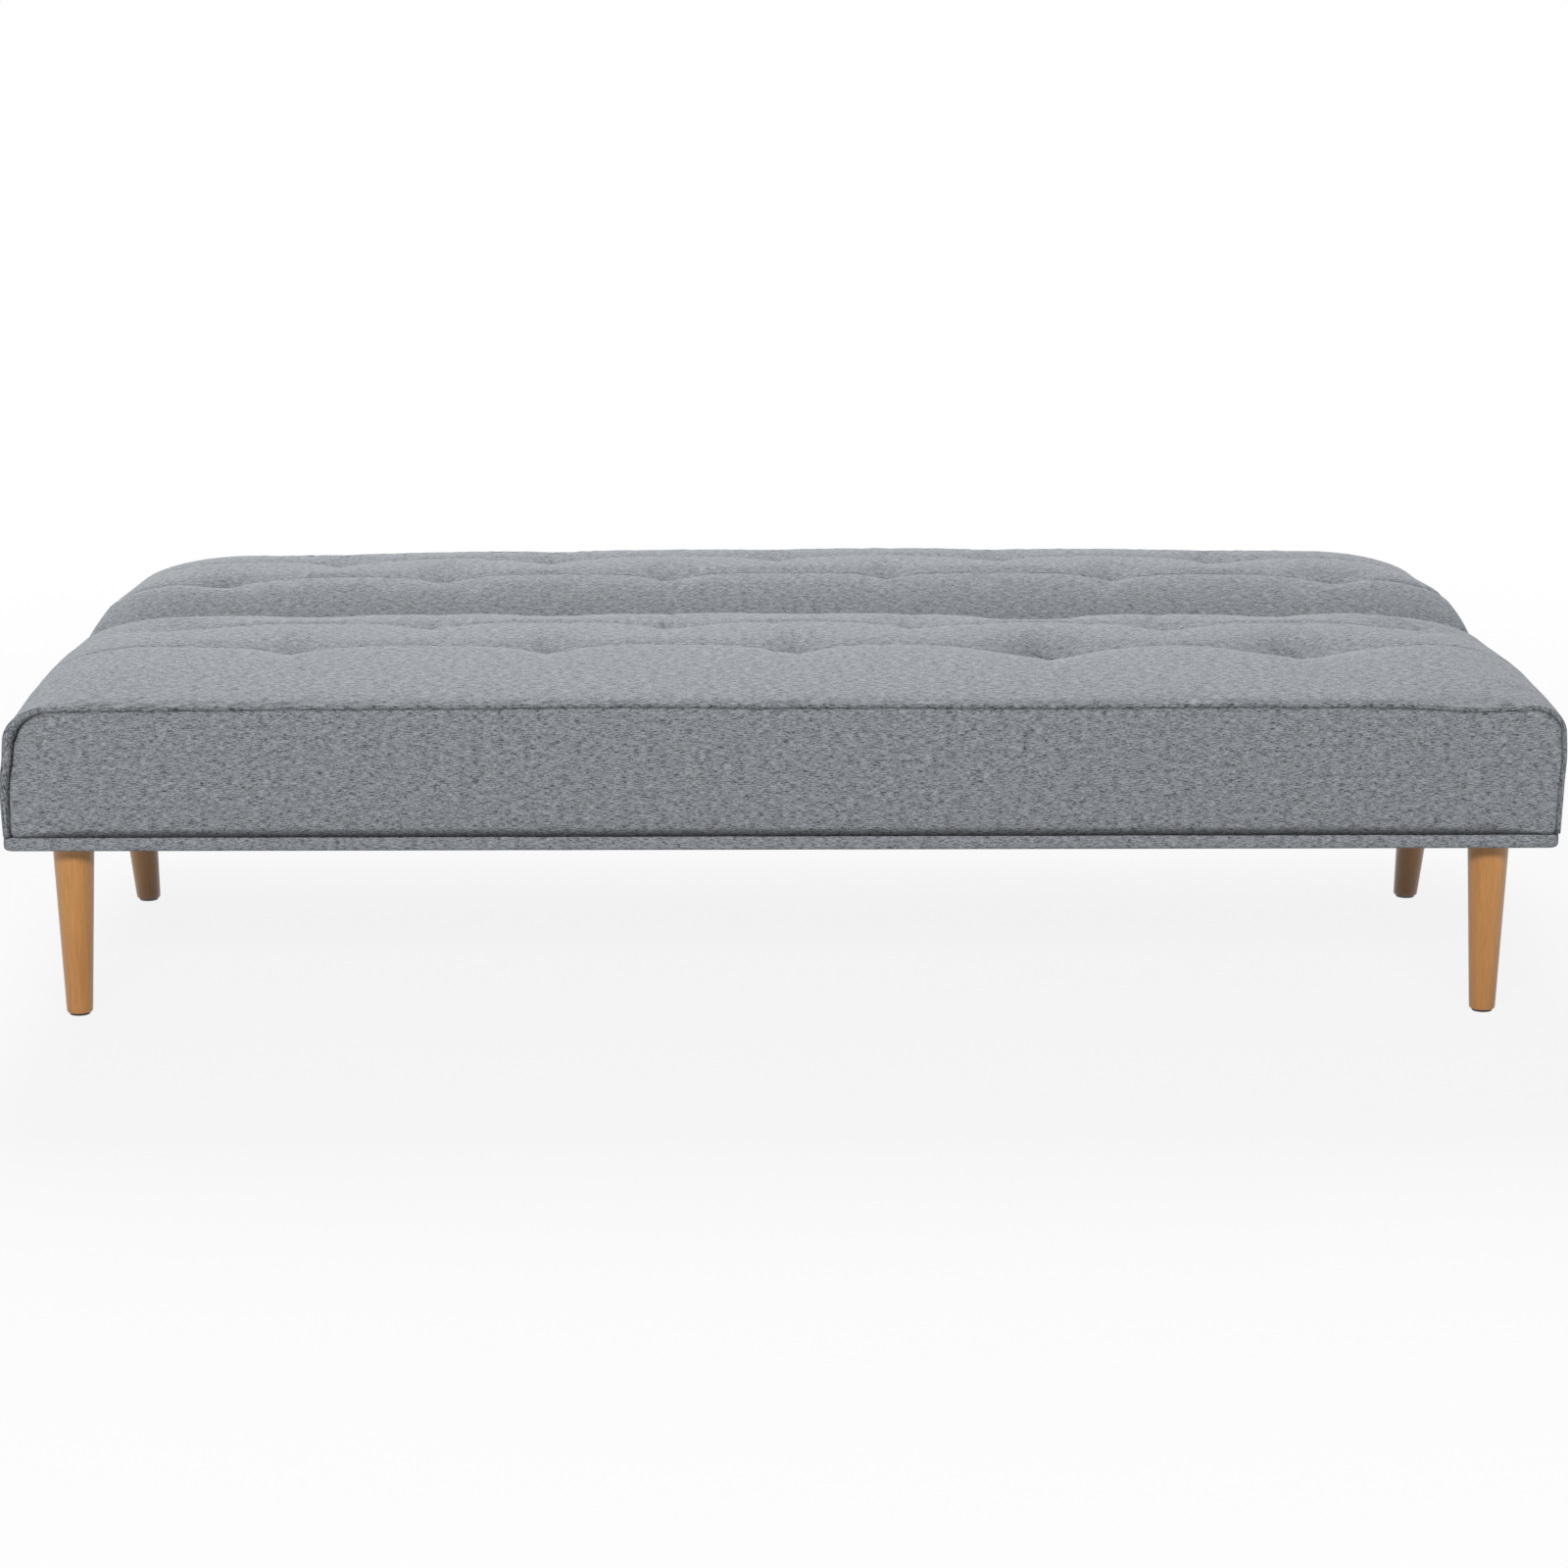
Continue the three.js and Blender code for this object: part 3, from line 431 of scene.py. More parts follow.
def fix_normals(piece):
    """Turns every face of a closed piece outwards."""
    with edited(piece.data) as shell:
        bmesh.ops.recalc_face_normals(shell, faces=shell.faces)


def thicken(piece, name, thickness):
    """Gives a sheet its thickness, inwards from its surface."""
    wall = piece.modifiers.new(name, "SOLIDIFY")
    wall.thickness = thickness
    wall.offset = -1.0


def dressed(piece, body, nodes=()):
    """Rides a piece on its body, and lets it stand for CAD nodes."""
    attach(piece, body)
    if nodes:
        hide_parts(*nodes)
    return piece


# Forms that the surfaces are made of. A wave is (height, pitch), in metres

EDGE_WAVE, TOP_WAVE, FINE_WAVE = (0.0022, 0.55), (0.0010, 0.22), (0.0005, 0.09)
ROW_WAVE, SIDE_WAVE = (0.0016, 0.30), (0.0008, 0.12)
PANEL_WAVE, PANEL_FINE_WAVE = (0.0007, 0.25), (0.0005, 0.07)
BAND_WAVE, SHEET_WAVE = (0.0004, 0.11), (0.0004, 0.06)
# Soft noise, as a share, that breaks up the painted shade along the rows' lines
LINE_SHADE_WAVE = (1.1, 0.11)


def waves(wave, x, y, seed, count=9):
    """Soft noise: the mean of sine waves of about one pitch, their bearings and phases from a seed."""
    height, pitch = wave
    dice = np.random.default_rng(seed)
    total = np.zeros(np.broadcast(x, y).shape)
    for _ in range(count):
        bearing, phase = dice.uniform(0, 2 * math.pi, 2)
        reach = pitch * dice.uniform(0.7, 1.5)
        total += np.sin(2 * math.pi * (x * math.cos(bearing) + y * math.sin(bearing)) / reach + phase)
    return height * (total / count)


def smooth_min(first, second, reach):
    """The lesser of two heights, with the crease between them rounded over reach."""
    near = np.maximum(reach - np.abs(first - second), 0) / reach
    return np.minimum(first, second) - near ** 2 * reach / 4


def fall(distance, reach, power=1.0):
    """A share that falls from 1 with distance, as exp(-(distance / reach) ^ power)."""
    return np.exp(-(distance / reach) ** power)


def dip(distance, reach):
    """A bell of 1 at distance 0."""
    return np.exp(-((distance / reach) ** 2))


def rising(value, start, reach):
    """A share that rises evenly from 0 at start to 1 a reach later."""
    return np.clip((value - start) / reach, 0, 1)


def eased(share):
    """A share with a soft start and a soft end."""
    return share * share * (3 - 2 * share)


def superellipse(turn, power):
    """Both coordinates of a squared-off circle at each turn."""
    return [np.sign(part) * np.abs(part) ** power for part in (np.cos(turn), np.sin(turn))]


def travelled(*axes):
    """Distance run along a line of points, given axis by axis."""
    return np.concatenate([[0], np.cumsum(np.linalg.norm(np.diff(np.stack(axes), axis=1), axis=0))])


def spread(low, high, count, weight, sharp=4001):
    """Places from low to high, closer together where weight is large."""
    fine = np.linspace(low, high, sharp)
    run = np.concatenate([[0], np.cumsum(weight(fine)[1:])])
    return np.interp(np.linspace(0, run[-1], count), run, fine)


def grid(columns, rows):
    """Pairs over a grid, from a row of values and a column of values."""
    return np.stack(np.broadcast_arrays(columns, rows), -1)


# The pads

SEAM_DROP = 0.017           # the boxed panels' seam lies this far below the CAD box's top
SHOULDER_START = 0.008      # depth behind the boxed face over which the shoulders stay as they are
EDGE_FADE = 0.05            # reach of the boxed edge's own waviness behind it
REAR_RUN = 0.25             # distance behind the crown over which the seat's top falls
PUCKERS, PUCKER_NEAR, PUCKER_FAR = 9, 0.012, 0.035

# Where on a pad's half length something begins towards its ends, and over how much of it, as shares
ENDS = {
    # tone: where the painted shade of the rows' lines starts to pale; firm: where it stops being broken up
    "groove": (0.84, 0.16), "held": (0.90, 0.07), "nip": (0.85, 0.10), "tone": (0.72, 0.25),
    "firm": (0.78, 0.08),
}
CREST_BACK, CREST_WIDE, CREST_DEEP = 0.036, 0.072, 0.050
RAMP_ROUND = 0.006


@dataclass
class Pad:
    """One pad's places and forms, in metres where they aren't shares.

    A row is (y, the tufts' x, their depths as shares). Flanks holds, for the right and then the left
    end, the side's place with its shoulder's width and height, first at the boxed face and then at
    the fold, how late the one turns into the other, and the seam's inset from the side, low and high."""

    unit: str
    boxed: float  # y of the boxed face
    fold: float  # y of the fold face
    slope: float  # rise over run of the top next to the fold
    fold_round: float  # reach of the rounding above that slope
    edge_lift: float  # height of the boxed edge over its seam
    arch: tuple  # the edge's rise in the middle, its fall to the ends, its tilt
    fullness: float  # share of the crown
    rows: list
    flanks: list
    seed: int
    groove_fade: float  # share by which the rows' grooves fade towards the ends
    line_shade_fade: float  # share by which the painted shade of their lines pales towards the ends
    line_shade: float  # how dark the painted shade along a row's line is
    rear_fall: float = 0.0  # fall of the top behind the crown
    edge_dip: tuple = (0.0, 0.0, 1.0)  # depth, x and reach of a dip in the boxed edge
    crest_pulls: tuple = ()  # pulls at the fold behind the first row's tufts, as shares
    ramp: tuple = ()  # lift, arch, rise and curve of the slope up to the first row
    nip: float = 0.0  # depth to which the first row's line draws in the ends
    firm_ends: float = 0.0  # share of a row line's painted shade that is unbroken at the ends

    def __post_init__(self):
        low, high = node_box(f"{self.unit}_cover")
        self.body = f"{self.unit}_unit"
        self.inward = math.copysign(1.0, self.fold - self.boxed)
        self.half, self.low_z = high[0], low[2]
        self.seam_z = CAD_BOX[1][2] - SEAM_DROP
        self.edge_z = self.seam_z + self.edge_lift
        self.rail = node_box(f"{self.unit}_rail_right")[1]

    def ends(self, x, kind):
        """How far a place is into the pad's end, 0 to 1."""
        return rising(np.abs(x) / self.half, *ENDS[kind])

    def shoulder(self, flank, y):
        """Place of a side, and width and height of its shoulder, at y."""
        boxed, fold, ease, _, _ = flank
        start = self.boxed + self.inward * SHOULDER_START
        share = eased(rising(y, start, self.fold - start) ** ease)
        return [near + (far - near) * share for near, far in zip(boxed, fold)]


def seat_pad():
    """The seat, boxed in front and folding at its rear."""
    low, high = node_box("seat_cover")
    depth = high[1] - low[1]
    return Pad(
        unit="seat", boxed=low[1], fold=high[1], slope=1 / math.tan(math.radians(29)), fold_round=0.026,
        edge_lift=0.0012, arch=(0.0, 0.0035, 0.0), fullness=1.0,
        rows=[
            (low[1] + 0.490 * depth, (-0.589, -0.281, 0.019, 0.320, 0.624), (0.42, 0.42, 0.46, 1.00, 0.95)),
            (low[1] + 0.773 * depth, (-0.755, -0.436, -0.135, 0.172, 0.480, 0.788),
             (0.66, 0.36, 0.42, 0.50, 0.62, 0.62)),
        ],
        flanks=[
            ((0.8965, 0.0360, 0.0300), (0.9017, 0.1920, 0.0493), 0.67, 0.0050, 0.0045),
            ((-0.8900, 0.0500, 0.0380), (-0.8897, 0.1663, 0.0444), 0.36, 0.0085, 0.0150),
        ],
        # The fade and the darkness of the painted shade along the rows' lines are set here too
        seed=11, groove_fade=0.55, line_shade_fade=0.7, line_shade=0.55, rear_fall=0.0090,
        edge_dip=(0.0036, 0.795, 0.055), crest_pulls=(0.3, 0.36, 0.15, 1.0, 0.42))


def back_pad():
    """The back as it lies flat: boxed at the far side and folding at its near side."""
    low, high = node_box("back_cover")
    depth = high[1] - low[1]
    return Pad(
        unit="back", boxed=high[1], fold=low[1], slope=math.tan(math.radians(30)), fold_round=0.030,
        edge_lift=0.0060, arch=(0.0080, 0.0110, 0.0028), fullness=0.5,
        rows=[
            (low[1] + 0.477 * depth, (-0.741, -0.445, -0.149, 0.148, 0.451, 0.750),
             (0.60, 0.50, 0.52, 0.42, 0.50, 0.66)),
            (low[1] + 0.810 * depth, (-0.596, -0.306, 0.002, 0.302, 0.602), (0.50, 0.58, 0.50, 0.50, 0.58)),
        ],
        flanks=[
            ((0.8953, 0.1789, 0.0456), (0.9115, 0.0982, 0.0187), 1.51, 0.006, 0.012),
            ((-0.8876, 0.1761, 0.0461), (-0.9056, 0.1196, 0.0140), 2.12, 0.006, 0.012),
        ],
        # The fade and the darkness of the painted shade along the rows' lines are set here too
        seed=29, groove_fade=-0.6, line_shade_fade=-0.15, line_shade=0.8,
        ramp=(0.0200, 0.0065, 0.176, 0.793), nip=0.0050, firm_ends=1.0)


def row_line(pad, number, x):
    """How far a row's sewn line wanders from straight, by soft noise."""
    return waves(ROW_WAVE, x, 0 * x, pad.seed + 5 + number)


def tuft_fall(place, depth, number, x, off):
    """Fall of the top round one tuft, off being the distance across its row.

    A broad basin, steep towards the sitter and with a long tail away from them, plus a pinch, plus
    small folds that run out from the tuft as the cosine of nine times the bearing."""
    size = sizes()
    aside, across, root = np.abs(x - place), np.abs(off), math.sqrt(depth)
    wall = np.where(off < 0, size.basin_near * root, size.basin_far)
    basin = depth * fall(aside, size.basin_reach * root, 1.15) * fall(across, wall, 1.5)
    pinch = root * fall(aside, size.tuft_width, 1.2) * fall(across, size.tuft_near, 1.4)
    distance = np.hypot(x - place, off)
    pucker = root * np.cos(PUCKERS * np.arctan2(off, x - place) + 17 * place + number)
    pucker = pucker * fall(distance, PUCKER_FAR) * (1 - fall(distance, PUCKER_NEAR))
    return size.basin_depth * basin + size.tuft_depth * pinch + size.pucker_depth * pucker


def top_height(pad, x, y, sewn=True):
    """Height of a pad's top, with its sewn rows or as it would be without them.

    The boxed edge's height, arched along x, plus a crown that rises as a parabola over crown_run and
    on the seat falls again behind it. Each row takes away a valley and a sharp fold, and each tuft its
    own fall; the seat's crest is also pulled down behind the first row's tufts. The whole is held
    under the fold's slope by a smooth minimum, and on the back also under a ramp, its height a
    quadratic in the distance to the first row."""
    size = sizes()
    share = np.abs(x) / pad.half
    from_boxed = np.abs(y - pad.boxed)
    near_edge = fall(from_boxed, EDGE_FADE)
    z = pad.edge_z + pad.arch[0] - pad.arch[1] * share ** 2 + pad.arch[2] * x / pad.half
    z = z + size.crown * pad.fullness * (1 - np.maximum(1 - from_boxed / size.crown_run, 0) ** 2)
    z = z - pad.rear_fall * rising(from_boxed, size.crown_run, REAR_RUN) ** 2
    z = z + waves(EDGE_WAVE, x, 0 * x, pad.seed + 3) * near_edge
    depth, place, reach = pad.edge_dip
    z = z - depth * dip(x - place, reach) * near_edge
    z = z + waves(TOP_WAVE, x, y, pad.seed) + waves(FINE_WAVE, x, y, pad.seed + 1)
    if sewn:
        for number, (row_y, places, depths) in enumerate(pad.rows):
            off = y - row_y - row_line(pad, number, x)
            groove = 1 - pad.groove_fade * pad.ends(x, "groove")
            reach = np.where(off < 0, size.channel_near, size.channel_far)
            z = z - size.channel_depth * groove * fall(np.abs(off), reach, 1.3)
            z = z - size.line_depth * groove * fall(np.abs(off), size.line_reach)
            for place, depth in zip(places, depths):
                z = z - tuft_fall(place, depth, number, x, off)
        for place, pull in zip(pad.rows[0][1], pad.crest_pulls):
            away = np.hypot((x - place) / CREST_WIDE, (y - pad.fold + CREST_BACK) / CREST_DEEP)
            z = z - size.crest_depth * pull * fall(away, 1.0, 1.5)
    if pad.ramp:
        lift, arch, rise, curve = pad.ramp
        before = y - pad.rows[0][0]
        ramp = pad.seam_z + lift - arch * share ** 2 + rise * before + curve * before * np.abs(before)
        z = smooth_min(z, ramp, RAMP_ROUND)
    fold_edge = FOLD_AXIS[2] + np.abs(y - pad.fold) * pad.slope
    return smooth_min(z, fold_edge, pad.fold_round)


# Columns on a side and on its shoulder, and how the side keeps to its rail
SIDE_COLUMNS, SHOULDER_COLUMNS = 14, 13
RAIL_GAP, RAIL_REACH = 0.0022, 0.0030
LEAN_START, LEAN_RUN = 0.003, 0.040
SIDE_SWELL = 0.0016


def flank_columns(pad, flank, y):
    """One end of the section, from its foot up: a side, then a quarter-ellipse shoulder.

    The side starts close to the rail and leans out above it, swollen as a half sine. The shoulder
    meets the top as it would be unsewn, and then falls as the sewn rows do, by the square of the share
    that it faces upwards. Gives x, z and the outward normal's two parts, over (rows, columns)."""
    side_x, wide, tall = pad.shoulder(flank, y)
    sign = math.copysign(1.0, flank[0][0])
    shoulder_top = top_height(pad, side_x - sign * wide, y, False)
    rise = np.linspace(0, 1, SIDE_COLUMNS + 1)[None, :-1]
    side_z = pad.low_z + rise * (shoulder_top - tall - pad.low_z)
    swell = SIDE_SWELL * np.sin(math.pi * rise) + waves(SIDE_WAVE, y, side_z, pad.seed + 9)
    foot_x = sign * np.clip(np.abs(side_x), pad.rail[0] + RAIL_GAP, pad.rail[0] + RAIL_REACH)
    lean = eased(rising(side_z, pad.rail[2] + LEAN_START, LEAN_RUN))
    side = foot_x + (side_x - foot_x) * lean + sign * swell
    turn = np.linspace(0, math.pi / 2, SHOULDER_COLUMNS + 1)[None, :-1]
    arc_x = side_x - sign * wide * (1 - np.cos(turn))
    arc_z = shoulder_top - tall * (1 - np.sin(turn))
    lean_x, lean_z = np.cos(turn) / wide, np.sin(turn) / tall
    steep = np.hypot(lean_x, lean_z)
    x = np.concatenate([side, arc_x], 1)
    z = np.concatenate([side_z, arc_z], 1)
    out_x = np.concatenate([0 * side + sign, sign * lean_x / steep], 1)
    out_z = np.concatenate([np.zeros_like(side), lean_z / steep], 1)
    z = z - out_z ** 2 * (top_height(pad, x, y, False) - top_height(pad, x, y))
    return x, z, out_x, out_z


def held_share(pad, x, y):
    """How firmly the sewing holds a sheet at a place: 1 at a tuft, less along a row and on the ends."""
    held = 0.6 * pad.ends(x, "held")
    for number, (row_y, places, _) in enumerate(pad.rows):
        off = y - row_y - row_line(pad, number, x)
        held = np.maximum(held, 0.5 * dip(off, 0.010))
        for place in places:
            held = np.maximum(held, dip(np.hypot(x - place, off), 0.024))
    return held


SETTLE_FRAMES, SETTLE_ROWS, SETTLE_COLUMNS = 20, 52, 176
SETTLE_SPARE = 0.006        # share by which the settling sheet is larger than its own surface


def settled(pad, points):
    """Moves of a sheet's points once a coarse copy of it has settled as cloth under pressure.

    The copy is held at its border and where it is sewn, a little larger than its own surface, and
    free elsewhere. No point moves further than settle_limit. The moves are carried back to the full
    grid by straight interpolation along its rows and its columns."""
    rows, columns = [
        np.unique(np.linspace(0, full - 1, coarse).round().astype(int))
        for full, coarse in zip(points.shape, (SETTLE_ROWS, SETTLE_COLUMNS))]
    start = points[np.ix_(rows, columns)]
    held = held_share(pad, start[..., 0], start[..., 1])
    held[[0, 1, 2, -3, -2, -1]] = 1.0
    held[:, [0, -1]] = 1.0
    mesh = bpy.data.meshes.new("settling")
    mesh.from_pydata(start.reshape(-1, 3).tolist(), [], patch_arrays(start, 0).tolist())
    if pad.inward > 0:
        mesh.flip_normals()
    piece = placed("settling", mesh)
    group = piece.vertex_groups.new(name="held")
    for number, weight in enumerate(held.ravel().tolist()):
        group.add([number], weight, "REPLACE")
    cloth = piece.modifiers.new("settling", "CLOTH")
    for name, value in {
        "vertex_group_mass": "held", "quality": 6, "mass": 0.3, "tension_stiffness": 20.0,
        "compression_stiffness": 20.0, "shear_stiffness": 8.0, "bending_stiffness": 3.0,
        "use_pressure": True, "uniform_pressure_force": sizes().settle_pressure, "shrink_min": -SETTLE_SPARE,
    }.items():
        setattr(cloth.settings, name, value)
    cloth.settings.effector_weights.gravity = 0.0
    cloth.collision_settings.use_collision = False
    cloth.point_cache.frame_start, cloth.point_cache.frame_end = 1, SETTLE_FRAMES
    for number in range(1, SETTLE_FRAMES + 1):
        bpy.context.scene.frame_set(number)
    shape = piece.evaluated_get(bpy.context.evaluated_depsgraph_get()).to_mesh()
    ended = np.empty(start.size, dtype=np.float32)
    shape.vertices.foreach_get("co", ended)
    move = ended.reshape(start.shape).astype(float) - start
    far = np.linalg.norm(move, axis=2, keepdims=True)
    move = move * np.minimum(1, sizes().settle_limit / np.maximum(far, 1e-9))
    bpy.data.objects.remove(piece)
    bpy.data.meshes.remove(mesh)
    bpy.context.scene.frame_set(1)
    full_rows, full_columns = np.arange(points.shape[0]), np.arange(points.shape[1])
    wide = np.stack([[np.interp(full_columns, columns, line[:, axis]) for line in move]
                     for axis in range(3)], -1)
    return np.stack([[np.interp(full_rows, rows, wide[:, number, axis]) for number in full_columns]
                     for axis in range(3)], -1).transpose(1, 0, 2)


# The sewn edge: degrees round its quarter, then a ridge and a second groove as (height, place, reach)
EDGE_DEGREES = (0, 8, 17, 27, 38, 50, 63, 77)
EDGE_RIDGE, EDGE_GROOVE = (0.0009, 0.0040, 0.0020), (0.0008, 0.0082, 0.0013)
NIP_CLEAR, NIP_REACH = 0.030, 0.012
SEAM_SPREAD = 1.2           # how much wider a seam's shade is than its groove
# Offset and half width of the painted shade along a row's line
LINE_ASIDE, LINE_WIDTH = 0.0006, 0.0014
ROW_WEIGHTS, TUFT_WEIGHT = ((7, 0.006), (1.4, 0.028)), (1.1, 0.018)    # how much closer rows and columns lie
TUFT_PITCH = 0.15           # half the pitch of the tufts along a row


def sheet_rows(pad):
    """Where the sheet's rows lie: a quarter round at each face, and closer rows at the tufts.

    Gives y, the share to which each row has left its face, the outward part along y, and the
    distance from the nearer seam, each as a column."""
    turns = np.radians(np.array(EDGE_DEGREES))
    edge = sizes().edge_round
    start, end = pad.boxed + pad.inward * edge, pad.fold - pad.inward * edge
    middle = spread(start, end, 96, lambda y: 1 + sum(
        weight * dip(y - row[0], reach) for row in pad.rows for weight, reach in ROW_WEIGHTS))
    run = pad.inward * edge * (1 - np.cos(turns))
    inner = edge * math.pi / 2 + np.minimum(np.abs(middle - start), np.abs(end - middle))
    return [np.concatenate([first, between, last[::-1]])[:, None] for first, between, last in (
        (pad.boxed + run, middle, pad.fold - run),
        (np.sin(turns), np.ones(len(middle)), np.sin(turns)),
        (-pad.inward * np.cos(turns), np.zeros(len(middle)), pad.inward * np.cos(turns)),
        (edge * turns, inner, edge * turns))]


def sheet_section(pad, y):
    """The sheet round a pad at each y, unsettled: x, z and the outward normal's two parts."""
    (side_right, wide_right, _), (side_left, wide_left, _) = [pad.shoulder(flank, y) for flank in pad.flanks]
    reach_right, reach_left = side_right - wide_right, side_left + wide_left
    weight, reach = TUFT_WEIGHT
    share = spread(-1, 1, 316, lambda x: 1 + sum(
        weight * dip(x - place / 0.82, reach) for place in np.arange(-5, 6) * TUFT_PITCH))[None, ::-1]
    x = (reach_right + reach_left) / 2 + share * (reach_right - reach_left) / 2
    top = x, top_height(pad, x, y), 0 * x, 0 * x + 1
    right, left = [flank_columns(pad, flank, y) for flank in pad.flanks]
    return [np.concatenate([first, between, last[:, ::-1]], 1)
            for first, between, last in zip(right, top, left)]


def end_nip(pad, x, y, z):
    """How deep the first row's line draws in a pad's ends: nothing by the rail, all of it above."""
    depth = pad.nip * rising(z, pad.rail[2], NIP_CLEAR) * pad.ends(x, "nip")
    return depth * fall(np.abs(y - pad.rows[0][0]), NIP_REACH)


def seam_inset(pad, x, z, out_x, out_z):
    """How far the seam lies inside the section: edge_top on the top, and each flank's own on its side."""
    height = np.clip((z - pad.low_z) / (pad.seam_z - pad.low_z), 0, 1)
    low, high = [np.where(x > 0, right, left) for right, left in zip(pad.flanks[0][3:], pad.flanks[1][3:])]
    top = sizes().edge_top
    side = low + (high - low) * height
    return top + (side - top) * np.abs(out_x) ** 1.5 + (high - low) * np.abs(out_x * out_z)


def painted_seam_shade(pad, x, sewn, out_x, from_seam):
    """Painted shade for the sewn lines: dark in the seam, in the groove beside it on the ends, and along the
    rows' lines.

    A row's line has its painted shade broken up by soft noise. It is found on the sheet's x and y as sewn,
    before settling."""
    _, place, reach = EDGE_GROOVE
    # Painted shade: dark in the seam groove, in the second groove mostly on the ends, and along each row's
    # line
    tone = dip(from_seam, sizes().stitch_reach * SEAM_SPREAD)
    tone = tone + (0.1 + 0.35 * np.abs(out_x)) * dip(from_seam - place, reach)
    for number, (row_y, _, _) in enumerate(pad.rows):
        off = sewn[1] - row_y - row_line(pad, number, sewn[0])
        # Soft noise varies the painted shade along the line, except where it is kept unbroken on the ends
        line_shade_strength = np.clip(0.8 + waves(LINE_SHADE_WAVE, x, 0 * x, pad.seed + 40 + number), 0.25, 1)
        line_shade_strength = np.maximum(line_shade_strength, pad.firm_ends * pad.ends(x, "firm"))
        fade = 1 - pad.line_shade_fade * pad.ends(x, "tone")
        tone = np.maximum(tone, pad.line_shade * line_shade_strength * fade * dip(off - LINE_ASIDE, LINE_WIDTH))
    return tone


def pad_sheet(pad):
    """The sheet over a pad's top and ends: rows run along y, columns round the section.

    Near either face the section shrinks by a quarter round. The seam itself lies at the first and
    the last row, sunk in a groove, with the pressed allowance as a low ridge beside it."""
    size = sizes()
    y, flat, facing, from_seam = sheet_rows(pad)
    inner = sorted((pad.boxed + pad.inward * size.edge_round, pad.fold - pad.inward * size.edge_round))
    x, z, out_x, out_z = sheet_section(pad, np.clip(y, *inner))
    nip = end_nip(pad, x, y, z)
    x, z = x - out_x * nip, z - out_z * nip
    sewn = x, y
    inset = seam_inset(pad, x, z, out_x, out_z)
    x, z = x - out_x * inset * (1 - flat), z - out_z * inset * (1 - flat)
    y = y + 0 * x
    move = settled(pad, np.stack([x, y, z], -1))
    x, y, z = x + move[..., 0], y + move[..., 1], z + move[..., 2]
    push = -size.stitch_depth * dip(from_seam, size.stitch_reach)
    for (height, place, reach), side in ((EDGE_RIDGE, 1), (EDGE_GROOVE, -1)):
        push = push + side * height * dip(from_seam - place, reach)
    x, z = x + out_x * push * flat, z + out_z * push * flat
    points = np.stack([x, y + facing * push, z], -1)
    row, column = len(y) // 2, z.shape[1] // 2
    around, along = travelled(x[row], z[row]), travelled(y[:, column], z[:, column])
    cloth = grid(around[-1] / 2 - around[None, :], along[:, None])
    # The third part is the painted shade that goes into the seam attribute
    return points, cloth, painted_seam_shade(pad, x, sewn, out_x, from_seam)


# A boxed panel: its rows' first distances from the seam, and how its lower corners are drawn in
PANEL_ROWS = (0, 0.0010, 0.0021, 0.0034, 0.0052, 0.0080, 0.0120)
PANEL_NEXT = 0.0190
PANEL_CORNER, PANEL_REACH = 0.20, 0.10
PANEL_TUCK, TUCK_REACH = 0.004, 0.0025
PANEL_EDGE, PANEL_LOW = 0.022, 0.05     # how far in the puff is full, and how low it begins to flatten
PANEL_HEM, RIPPLE_EDGE, FOOT_SHADE = 0.004, 0.006, 0.0015


def face_panel(pad, border, outward, puff, seed):
    """A boxed panel inside the sheet's border, as rows that run from the seam to the panel's foot.

    A point is the border point carried straight to a place on the foot, with the rows close together
    at the seam, pushed out by a puff that grows with distance from the seam."""
    size = sizes()
    foot_z = pad.low_z
    arc = travelled(border[:, 0], border[:, 2])
    foot_x = np.interp(
        arc, [0, PANEL_CORNER, arc[-1] - PANEL_CORNER, arc[-1]],
        [border[0, 0], border[0, 0] - PANEL_REACH, border[-1, 0] + PANEL_REACH, border[-1, 0]])
    height = pad.seam_z - foot_z
    rows = np.concatenate([
        np.array(PANEL_ROWS) / height, np.linspace(PANEL_NEXT / height, 1, 13)])[:, None]
    foot = np.stack([foot_x, border[:, 1], np.full(len(foot_x), foot_z)], -1)
    points = border[None] + (foot - border)[None] * rows[:, :, None]
    x, z = points[..., 0], points[..., 2]
    away = np.linalg.norm((points - border[None])[..., [0, 2]], axis=2)
    side = np.minimum(border[0, 0] - x, x - border[-1, 0])
    gap = np.minimum(away, np.maximum(side, 0) + PANEL_HEM * (away > 0))
    low = np.clip((PANEL_LOW - (z - foot_z)) / PANEL_LOW, 0, 1)
    swell = puff * (1 - fall(gap, PANEL_EDGE)) * (1 - 0.5 * low ** 2)
    lift = size.stitch_depth * (1 - dip(gap, size.stitch_reach * SEAM_SPREAD))
    ripple = waves(PANEL_FINE_WAVE, x, z, seed) * (1 - fall(gap, RIPPLE_EDGE))
    ripple = ripple + waves(PANEL_WAVE, x, z, seed + 1)
    tuck = -PANEL_TUCK * fall(z - foot_z, TUCK_REACH)
    points[..., 1] = points[..., 1] + outward * (swell + lift + (ripple + tuck) * (rows > 0))
    # Painted shade for the seam attribute: dark in the seam's groove and along the foot, where the panel
    # tucks under
    seam = dip(away, size.stitch_reach) + 0.6 * fall(z - foot_z, FOOT_SHADE)
    return points, np.stack([x, z + 0.3], -1), seam


